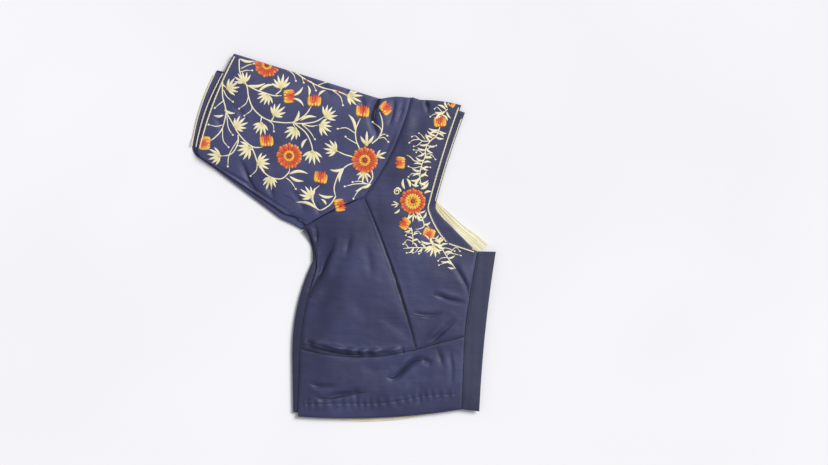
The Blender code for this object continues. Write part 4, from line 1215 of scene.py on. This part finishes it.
def cloth_strip(name, route, widths, level, wall, ridges=0):
    """A strip of cloth along a route, at a level or under a tree of cloth, with sewn channels along it."""
    line = smooth_line(route, 1.5)
    wide = widths_along(line, widths)
    bpy.ops.object.select_all(action="DESELECT")
    bpy.ops.mesh.primitive_grid_add(x_subdivisions=STRIP_CELLS, y_subdivisions=len(line) - 1, size=1.0)
    piece = bpy.context.active_object
    piece.name = name
    flat = coordinates(piece) * MM
    rows = np.rint((flat[:, 1] + 0.5) * (len(line) - 1)).astype(int)
    across = flat[:, 0]
    places = line[rows] - (across * wide[rows])[:, None] * leftward(line)[rows]
    if isinstance(level, BVHTree):
        spine = [cloth_near(level, x, y, 12).z / MM - UNDER_FRONT for x, y in line]
        height = smoothed(np.array(spine)[:, None] * np.ones((1, 3)), 4)[rows, 1]
    else:
        height = np.full(len(flat), level)
    if ridges:
        channel = (((across + 0.5) * ridges) % 1.0 - 0.5) * wide[rows] / ridges
        depth, reach = STRIP_RIDGES
        height -= depth * np.exp(-((channel / reach) ** 2))
    points = np.column_stack([places, height])
    points[:, 2] += 0.12 * rumple(points, 7.0, 6)
    area = sew(piece, points, wall)
    return piece


def running_stitches(work, line, length, gap, width, tint=0.5, rise=0.3):
    """A row of short stitches along a line."""
    line = smooth_line(line, 0.6)
    place = 0.0
    while place + length < lengths_along(line)[-1]:
        points = along_line(line, np.linspace(place, place + length, 4))
        work.stroke(points, width * np.array((0.5, 1.0, 1.0, 0.5)), rise, tint)
        place += length + gap


# Open edges of each finished sheet, by its name, filled as the sheets are made
EDGES = {}


def along_edge(name, start, end, inset):
    """The run of a sheet's edge from the place nearest start to the one nearest end, moved inwards."""
    points = EDGES[name][0][:, :2]
    run = run_between(points, start, end)
    kernel = np.ones(5) / 5
    padded = np.pad(run, ((2, 2), (0, 0)), mode="edge")
    run = np.stack([np.convolve(padded[:, i], kernel, mode="valid") for i in (0, 1)], axis=1)
    inward = leftward(run)
    if not is_inside(run[len(run) // 2] + 2 * inward[len(run) // 2], points):
        inward = -inward
    return run + inset * inward


def is_inside(point, loop):
    x, y = point
    found = False
    for (x0, y0), (x1, y1) in zip(loop, np.roll(loop, -1, axis=0)):
        if (y0 > y) != (y1 > y) and x < x0 + (y - y0) * (x1 - x0) / (y1 - y0):
            found = not found
    return found


def hex_colour(name, description, default):
    return bpy.props.StringProperty(name=name, description=description, default=default, maxlen=7)


class CHOLI_PG_finish(bpy.types.PropertyGroup):
    """Colours of the cloth and threads, as sRGB hex."""

    satin_deep: hex_colour("Satin, deep", "Darkest tone of the body satin", "#2a2c4a")
    satin_light: hex_colour("Satin, light", "Lightest tone of the body satin", "#383b60")
    # The sleeve satin's lighter colours are painted light, for the sheen it catches on its grain
    sleeve_deep: hex_colour("Sleeve satin, deep", "Darkest tone of the sleeve satin", "#35375a")
    sleeve_light: hex_colour("Sleeve satin, light", "Lightest tone of the sleeve satin", "#43456d")
    twill_deep: hex_colour("Twill, deep", "Darkest tone of the placket twill", "#282a43")
    twill_light: hex_colour("Twill, light", "Lightest tone of the placket twill", "#343751")
    # Painted shade: the near-black tone of the strips in seam ditches and deep folds
    fold_painted_shade: hex_colour("Navy in the folds", "Allowance seen in a seam's ditch or a deep fold", "#12131f")
    lining_deep: hex_colour("Lining, shade", "Shaded tone of the cream cotton", "#ddd6b4")
    lining_light: hex_colour("Lining, light", "Light tone of the cream cotton", "#f2edd2")
    cord_deep: hex_colour("Cord, shade", "Shaded tone of the cream cord", "#c9bd92")
    cord_light: hex_colour("Cord, light", "Light tone of the cream cord", "#fbf3d4")
    cream_shade: hex_colour("Cream silk, root", "Greenish root tone of the cream silk", "#c9bc62")
    cream_mid: hex_colour("Cream silk, middle", "Middle tone of the cream silk", "#eadfae")
    cream_light: hex_colour("Cream silk, light", "Lightest tone of the cream silk", "#fbf4d8")
    orange_deep: hex_colour("Orange silk, deep", "Red tone of the flower petals", "#c23a1c")
    orange_mid: hex_colour("Orange silk, middle", "Middle tone of the flower petals", "#e06a2c")
    orange_light: hex_colour("Orange silk, light", "Petal tip tone", "#f0a058")
    yellow_deep: hex_colour("Yellow silk, deep", "Golden tone of the buds", "#d98a2a")
    yellow_mid: hex_colour("Yellow silk, middle", "Middle tone of the buds", "#ecb53c")
    yellow_light: hex_colour("Yellow silk, light", "Lightest tone of the flower rings", "#f4d968")


class CHOLI_PG_cloth(bpy.types.PropertyGroup):
    """Sizes of the cloth, cords and stitches."""

    wall: bpy.props.FloatProperty(
        name="Cloth thickness", description="Thickness of one lined layer", default=0.0009,
        min=0.0004, max=0.002, subtype="DISTANCE", unit="LENGTH",
    )
    crease_strength: bpy.props.FloatProperty(
        name="Crease strength", description="Share of each crease's full depth", default=1.45,
        min=0.0, max=2.0,
    )
    rumple_height: bpy.props.FloatProperty(
        name="Rumple height", description="Height of the soft unevenness of the cloth", default=0.0006,
        min=0.0, max=0.002, subtype="DISTANCE", unit="LENGTH",
    )
    cord_radius: bpy.props.FloatProperty(
        name="Cord radius", description="Radius of the twisted trim cord", default=0.0008,
        min=0.0004, max=0.0015, subtype="DISTANCE", unit="LENGTH",
    )
    cord_inset: bpy.props.FloatProperty(
        name="Cord inset", description="From a finished edge to the cord on it", default=0.0022,
        min=0.0, max=0.006, subtype="DISTANCE", unit="LENGTH",
    )
    stem_width: bpy.props.FloatProperty(
        name="Stem width", description="Width of an embroidered stem", default=0.0015,
        min=0.0005, max=0.003, subtype="DISTANCE", unit="LENGTH",
    )
    stitch: bpy.props.FloatProperty(
        name="Stitch length", description="Length of a machine stitch", default=0.0024,
        min=0.001, max=0.005, subtype="DISTANCE", unit="LENGTH",
    )


class CHOLI_PG_studio(bpy.types.PropertyGroup):
    """Camera and light."""

    camera_height: bpy.props.FloatProperty(
        name="Camera height", description="Height of the camera over the sheet", default=2.2,
        min=0.5, max=5.0, subtype="DISTANCE", unit="LENGTH",
    )
    view_width: bpy.props.FloatProperty(
        name="View width", description="Width of the sheet that the camera sees", default=0.952,
        min=0.3, max=3.0, subtype="DISTANCE", unit="LENGTH",
    )
    key_strength: bpy.props.FloatProperty(
        name="Key strength", description="Irradiance of the broad light from the far right, in W/m2",
        default=3.0, min=0.0,
    )
    key_softness: bpy.props.FloatProperty(
        name="Key softness", description="Angle the key light fills, in degrees",
        default=30.0, min=0.0, max=90.0,
    )
    sky_strength: bpy.props.FloatProperty(
        name="Sky strength", description="Strength of the even light from all round", default=0.42,
        min=0.0,
    )


class CHOLI_OT_hidden_layers(bpy.types.Operator):
    """Makes the right back, left back and left front, folded under the right front"""

    bl_idname = "choli.hidden_layers"
    bl_label = "Hidden layers"

    def execute(self, context):
        cloth = context.scene.choli_cloth
        for number, (name, (height_share, trough_share, waver)) in enumerate(HIDDEN_LAYERS.items()):
            piece = cloth_sheet("folded_back_and_left_front", name, 5)[0]
            points = coordinates(piece)
            distance = edge_distance(points, edge_loops(piece))
            troughs = np.minimum(crease_height(points, BODY_CREASES, cloth.crease_strength), 0)
            if name == "left_front":
                points[:, 2] = LOWEST_SKIN + 0.15 * (points[:, 2] - STACK_EDGE).clip(0)
            else:
                points[:, 2] = height_share * points[:, 2]
            points[:, 2] += trough_share * troughs
            points[:, 2] += crease_height(points, UNDER_CREASES, 0.6) * (name != "left_front")
            points[:, 2] += 0.25 * rumple(points, 26.0, number + 3) * np.clip(distance / 6, 0, 1)
            points[:, 2] -= 0.35 * np.exp(-((distance / 1.8) ** 2))
            drift = [rumple(points, 30.0, number + 8), rumple(points, 34.0, number + 12)]
            points[:, :2] += waver * np.stack(drift, axis=1)
            points[:, 2] = np.maximum(points[:, 2], LAYER_FLOOR)
            area = sew(piece, points, cloth.wall / MM)
            # The hidden layers take the darker copy of the satin: painted shade under the top layer
            finish_piece(piece, "under satin", "navy_satin", "folded_back_and_left_front")
        return {"FINISHED"}


class CHOLI_OT_front_panels(bpy.types.Operator):
    """Makes the two princess panels, the waist band and the hook placket of the right front"""

    bl_idname = "choli.front_panels"
    bl_label = "Right front"

    def execute(self, context):
        cloth = context.scene.choli_cloth
        for name, (node, roll, key, flat) in PANELS.items():
            piece = cloth_sheet(node, name)[0]
            points = coordinates(piece)
            distance = edge_distance(points, edge_loops(piece))
            inner = np.clip(distance / 5, 0, 1)
            creases = crease_height(points, BODY_CREASES, cloth.crease_strength)
            points[:, 2] += creases * (0.35 + 0.65 * inner)
            points[:, 2] += sag_waist_puckers(points) * (key != "twill")
            points[:, 2] += cloth.rumple_height / MM * rumple(points, 24.0, 1) * inner
            points[:, 2] += 0.35 * cloth.rumple_height / MM * rumple(points, 9.0, 2) * inner
            if name == "side_panel":
                beside_princess, _ = polyline(points, PRINCESS_SEAM)
                roll = roll * np.clip(np.abs(beside_princess) / 4 - 0.5, 0, 1)
            points[:, 2] -= roll * np.exp(-((distance / 1.5) ** 2))
            if name == "placket":
                signed, _ = polyline(points, PLACKET_RIDGE)
                points[:, 2] += 0.12 * np.cos(2 * math.pi * signed / 11.5)
            area = sew(piece, points, cloth.wall / MM)
            slot = "navy_twill" if key == "twill" else "navy_satin"
            finish_piece(piece, key, slot, node)
            area = round(min(area, 0.999 * flat[0] * flat[1]), 5)
        return {"FINISHED"}


class CHOLI_OT_sleeves(bpy.types.Operator):
    """Makes the two elbow sleeves, pressed flat, with open cuffs"""

    bl_idname = "choli.sleeves"
    bl_label = "Sleeves"

    def execute(self, context):
        cloth = context.scene.choli_cloth
        for name, node in (("right_sleeve_tube", "right_sleeve"), ("left_sleeve_tube", "left_sleeve")):
            piece = flat_tube(node, name)
            points = coordinates(piece)
            distance = edge_distance(points, edge_loops(piece))
            normals = np.array([v.normal for v in piece.data.vertices])
            upper = np.clip(normals[:, 2] * 4, 0, 1)
            inner = np.clip(distance / 5, 0.2, 1)
            creases = crease_height(points, SLEEVE_CREASES, cloth.crease_strength)
            soft = cloth.rumple_height / MM * rumple(points, 22.0, 5)
            if name == "right_sleeve_tube":
                points[:, 2] += upper * inner * (creases + soft)
                points[:, 2] += (1 - upper) * 0.15 * np.maximum(creases, 0)
            else:
                points[:, 2] += upper * inner * 0.15 * soft
                signed, share = polyline(points, LEFT_CUFF[::-1])
                setback = (2.6 + 4.6 * (1 - share)) * np.clip(1 - np.abs(signed) / 34, 0, 1) * upper
                points[:, 0] += setback * 0.95
                points[:, 1] -= setback * 0.3
            points[:, 2] -= 0.35 * np.exp(-((distance / 1.4) ** 2)) * upper
            points[:, 2] = np.maximum(points[:, 2], SLEEVE_FLOOR)
            area = sew(piece, points, SLEEVE_WALL * cloth.wall / MM)
            finish_piece(piece, "sleeve satin", "navy_satin", node)
        return {"FINISHED"}


class CHOLI_OT_neck_layers(bpy.types.Operator):
    """Makes the back neckline and the cream facing that show in the neck, and the lining at the hem"""

    bl_idname = "choli.neck_layers"
    bl_label = "Neck layers and lining"

    def execute(self, context):
        cloth = context.scene.choli_cloth
        piece = cloth_sheet("back_neck_panel", "back_neckline")[0]
        points = coordinates(piece)
        distance = edge_distance(points, edge_loops(piece))
        points[:, 2] += 0.3 * rumple(points, 14.0, 4) * np.clip(distance / 3, 0, 1)
        points[:, 2] -= 0.3 * np.exp(-((distance / 1.2) ** 2))
        area = sew(piece, points, cloth.wall / MM)
        finish_piece(piece, "satin", "navy_satin", "back_neck_panel")
        area = round(min(area, BACK_NECK_FLAT[0] * BACK_NECK_FLAT[1]), 5)
        facing = cloth_strip(
            "neck_facing", FACING, (6.0, 12.0, 19.0, 25.0, 27.0), level=1.5, wall=0.7,
            ridges=len(FACING_ROWS),
        )
        finish_piece(facing, "cotton lining", "cream_lining", "cream_neck_facing")
        lining = cloth_strip("lining_edge", LINING, (3.6, 4.4, 3.8, 2.4), level=1.05, wall=0.7)
        finish_piece(lining, "cotton lining", "cream_lining", "hem_lining")
        body = cloth_tree(["side_panel", "centre_panel"])
        allowance = cloth_strip(
            "armhole_allowance", ARMHOLE_SEAM, (2.4, 5.0, 7.5, 7.5, 6.5), level=body, wall=0.5
        )
        # The allowance takes the darker copy of the satin: painted shade under the body cloth
        finish_piece(allowance, "under satin", "navy_satin")
        return {"FINISHED"}


class CHOLI_OT_cords(bpy.types.Operator):
    """Sews the twisted cream cords along the neck and the cuffs"""

    bl_idname = "choli.cords"
    bl_label = "Cords"

    def execute(self, context):
        cloth = context.scene.choli_cloth
        radius, inset = cloth.cord_radius / MM, cloth.cord_inset / MM
        neck = {
            "neck_cord": ("centre_panel", (120.5, -6), (134.5, 149), inset, 1.0, "front_neck_cord"),
            "neck_cord_low": ("centre_panel", (152, -17), (118.5, -4), inset, 1.0, "front_neck_low_cord"),
            "back_neckline_cord": ("back_neckline", (106, 38), (138.5, 141.5), 1.5, 0.85, "back_neck_cord"),
        }
        right_cuff, left_cuff = ((-169, 101), (-127, 210)), ((-175, 103), (-147, 191))
        cuffs = {
            "right_cuff_cord_twist": ("right_sleeve_tube", *right_cuff, 2.4, 1.0, "right_cuff_cord"),
            "left_cuff_cord_upper": ("left_sleeve_tube", *left_cuff, 1.2, 0.9, "left_cuff_cord"),
            "left_cuff_cord_lower": ("left_sleeve_tube", *left_cuff, -0.4, 0.9, "left_cuff_cord"),
        }
        for name, (sheet, start, end, far, share, node) in (neck | cuffs).items():
            if name in cuffs:
                route = self.cuff_route(sheet, start, end, far, name.endswith("lower"))
            else:
                route = along_edge(sheet, start, end, far)
            piece = twisted_cord(name, route[2:-2:4], share * radius, cloth_tree([sheet]))
            finish_piece(piece, "cotton cord", "cream_cord", node)
        return {"FINISHED"}

    def cuff_route(self, sheet, start, end, inset, lower):
        """The upper or lower wall's edge at the cuff, moved towards the armhole."""
        loop = min(EDGES[sheet], key=lambda r: np.mean(r[:, 0]))
        start, end = np.array(start, float), np.array(end, float)
        reach = np.linalg.norm(end - start)
        ahead = (end - start) / reach
        wall = (loop[:, 2] > np.median(loop[:, 2])) ^ lower
        run = loop[wall][:, :2]
        along = (run - start) @ ahead
        order = np.argsort(along)
        run, along = run[order], along[order]
        run = run[(along > -1) & (along < reach + 1)]
        return run + inset * np.array((ahead[1], -ahead[0]))


class CHOLI_OT_seam_stitches(bpy.types.Operator):
    """Sews the visible machine stitches at the hem, the placket and the facing"""

    bl_idname = "choli.seam_stitches"
    bl_label = "Seam stitches"

    def execute(self, context):
        cloth = context.scene.choli_cloth
        stitch = cloth.stitch / MM
        front = ["side_panel", "centre_panel", "waist_band", "placket"]
        # Near-black strips of painted shade in the seam ditches and deep folds; the fainter ones paler
        # towards their ends
        for design, name, sheets in (
            (PAINTED_SHADE_DITCHES, "seam_ditches", front),
            (SLEEVE_PAINTED_SHADE_DITCHES, "sleeve_ditches", ["right_sleeve_tube", "side_panel"]),
        ):
            shade_strokes = Needlework()
            for line, widths, tone in design:
                line = smooth_line(line, 1.2)
                wide = widths_along(line, widths) * (1 + 0.18 * np.sin(0.35 * np.arange(len(line))))
                ends = np.abs(np.linspace(-1, 1, len(line))) ** 4
                shade_strokes.stroke(line, wide, 0.16, tone + (0.9 - tone) * ends * (tone > 0.22))
            shade_strokes.lay(name, cloth_tree(sheets), "navy fold", "navy_satin")
        navy = Needlework()
        for line, gap, width, tone in NAVY_STITCHES:
            running_stitches(navy, line, stitch, gap, width, tone)
        navy.lay("navy_machine_stitches", cloth_tree(front), "navy thread", "navy_satin")
        cream = Needlework()
        for share in FACING_ROWS:
            line = FACING_MIDDLE + share * FACING_ACROSS
            # Rows in the darkest, greenish cream: partly the thread's tone, partly painted shade of the
            # groove each row lies in
            running_stitches(cream, line, stitch, 0.6, 0.8, 0.0, 0.2)
        facing = cloth_tree(["neck_facing"])
        cream.lay("cream_machine_stitches", facing, "cream silk", "cream_thread", lowest=0.3)
        return {"FINISHED"}


class CHOLI_OT_sleeve_embroidery(bpy.types.Operator):
    """Embroiders the flowering vine on the upper sleeve"""

    bl_idname = "choli.sleeve_embroidery"
    bl_label = "Sleeve embroidery"

    def execute(self, context):
        width = context.scene.choli_cloth.stem_width / MM
        cream, orange, yellow = sew_design(
            SLEEVE_STEMS, SLEEVE_TWIGS, SLEEVE_FANS, SLEEVE_BUDS, SLEEVE_FLOWERS, SLEEVE_LEAVES, width
        )
        for x, y in SLEEVE_KNOTS:
            orange.knot(x, y, 3.0, 0.3)
        tree = cloth_tree(["right_sleeve_tube", "centre_panel", "side_panel"])
        cream.lay("sleeve_vine", tree, "cream silk", "cream_thread")
        orange.lay("sleeve_orange_petals", tree, "orange silk", "orange_thread")
        yellow.lay("sleeve_yellow_petals", tree, "yellow silk", "yellow_thread")
        return {"FINISHED"}


class CHOLI_OT_neck_embroidery(bpy.types.Operator):
    """Embroiders the border beside the neckline"""

    bl_idname = "choli.neck_embroidery"
    bl_label = "Neck embroidery"

    def execute(self, context):
        width = 0.85 * context.scene.choli_cloth.stem_width / MM
        cream, orange, yellow = sew_design(
            NECK_STEMS, NECK_TWIGS, NECK_FANS, NECK_BUDS, NECK_FLOWERS, NECK_LEAVES, width
        )
        x, y, radius = NECK_SCROLL
        turns = np.linspace(0, 1.6 * 2 * math.pi, 18)
        reach = radius * (1 - turns / 13)
        cream.stem(np.stack([x + reach * np.cos(turns), y + reach * np.sin(turns)], axis=1), width)
        tree = cloth_tree(["centre_panel", "side_panel", "placket"])
        cream.lay("neck_vine", tree, "cream silk", "cream_thread")
        orange.lay("neck_orange_petals", tree, "orange silk", "orange_thread")
        yellow.lay("neck_yellow_petals", tree, "yellow silk", "yellow_thread")
        return {"FINISHED"}


class CHOLI_OT_studio(bpy.types.Operator):
    """Lays the white sheet, hangs the lights and sets the camera straight above"""

    bl_idname = "choli.studio"
    bl_label = "Studio"

    def execute(self, context):
        studio = context.scene.choli_studio
        bpy.ops.object.select_all(action="DESELECT")
        bpy.ops.mesh.primitive_plane_add(size=12.0, location=(0, 0, -0.0002))
        sheet = context.active_object
        sheet.name = "white_sheet"
        sheet.data.materials.append(floor_material())
        key = bpy.data.lights.new("key", "SUN")
        key.energy = studio.key_strength
        key.angle = math.radians(studio.key_softness)
        holder = bpy.data.objects.new("key", key)
        holder.rotation_euler = (-Vector(KEY_FROM)).to_track_quat("-Z", "Y").to_euler()
        context.scene.collection.objects.link(holder)
        world = bpy.data.worlds.new("studio")
        world.use_nodes = True
        sky = world.node_tree.nodes["Background"]
        sky.inputs["Color"].default_value = linear("#fdfdff")
        sky.inputs["Strength"].default_value = studio.sky_strength
        context.scene.world = world
        context.scene.view_settings.view_transform = "Standard"
        camera = bpy.data.cameras.new("overhead")
        camera.sensor_width = 36.0
        camera.lens = camera.sensor_width * studio.camera_height / studio.view_width
        holder = bpy.data.objects.new("overhead", camera)
        holder.location = (mm(VIEW_MIDDLE[0]), mm(VIEW_MIDDLE[1]), studio.camera_height)
        context.scene.collection.objects.link(holder)
        context.scene.camera = holder
        return {"FINISHED"}


OPERATORS = (
    CHOLI_OT_hidden_layers, CHOLI_OT_front_panels, CHOLI_OT_sleeves, CHOLI_OT_neck_layers, CHOLI_OT_cords,
    CHOLI_OT_seam_stitches, CHOLI_OT_sleeve_embroidery, CHOLI_OT_neck_embroidery, CHOLI_OT_studio,
)


class CHOLI_PT_sidebar(bpy.types.Panel):
    """Lists the blouse's pieces and settings"""

    bl_idname = "CHOLI_PT_sidebar"
    bl_label = "Folded choli blouse"
    bl_space_type = "VIEW_3D"
    bl_region_type = "UI"
    bl_category = "Choli"

    def draw(self, context):
        for group in (context.scene.choli_finish, context.scene.choli_cloth, context.scene.choli_studio):
            box = self.layout.box()
            for name in group.__annotations__:
                box.prop(group, name)
        for operator in OPERATORS:
            self.layout.operator(operator.bl_idname)


GROUPS = {
    "choli_finish": CHOLI_PG_finish,
    "choli_cloth": CHOLI_PG_cloth,
    "choli_studio": CHOLI_PG_studio,
}


def register():
    for kind in (*GROUPS.values(), *OPERATORS, CHOLI_PT_sidebar):
        bpy.utils.register_class(kind)
    for name, kind in GROUPS.items():
        setattr(bpy.types.Scene, name, bpy.props.PointerProperty(type=kind))


def unregister():
    for name in GROUPS:
        delattr(bpy.types.Scene, name)
    for kind in (CHOLI_PT_sidebar, *reversed(OPERATORS), *GROUPS.values()):
        bpy.utils.unregister_class(kind)


def main():
    register()
    for operator in OPERATORS:
        group, name = operator.bl_idname.split(".")
        getattr(getattr(bpy.ops, group), name)()


if __name__ == "__main__":
    main()
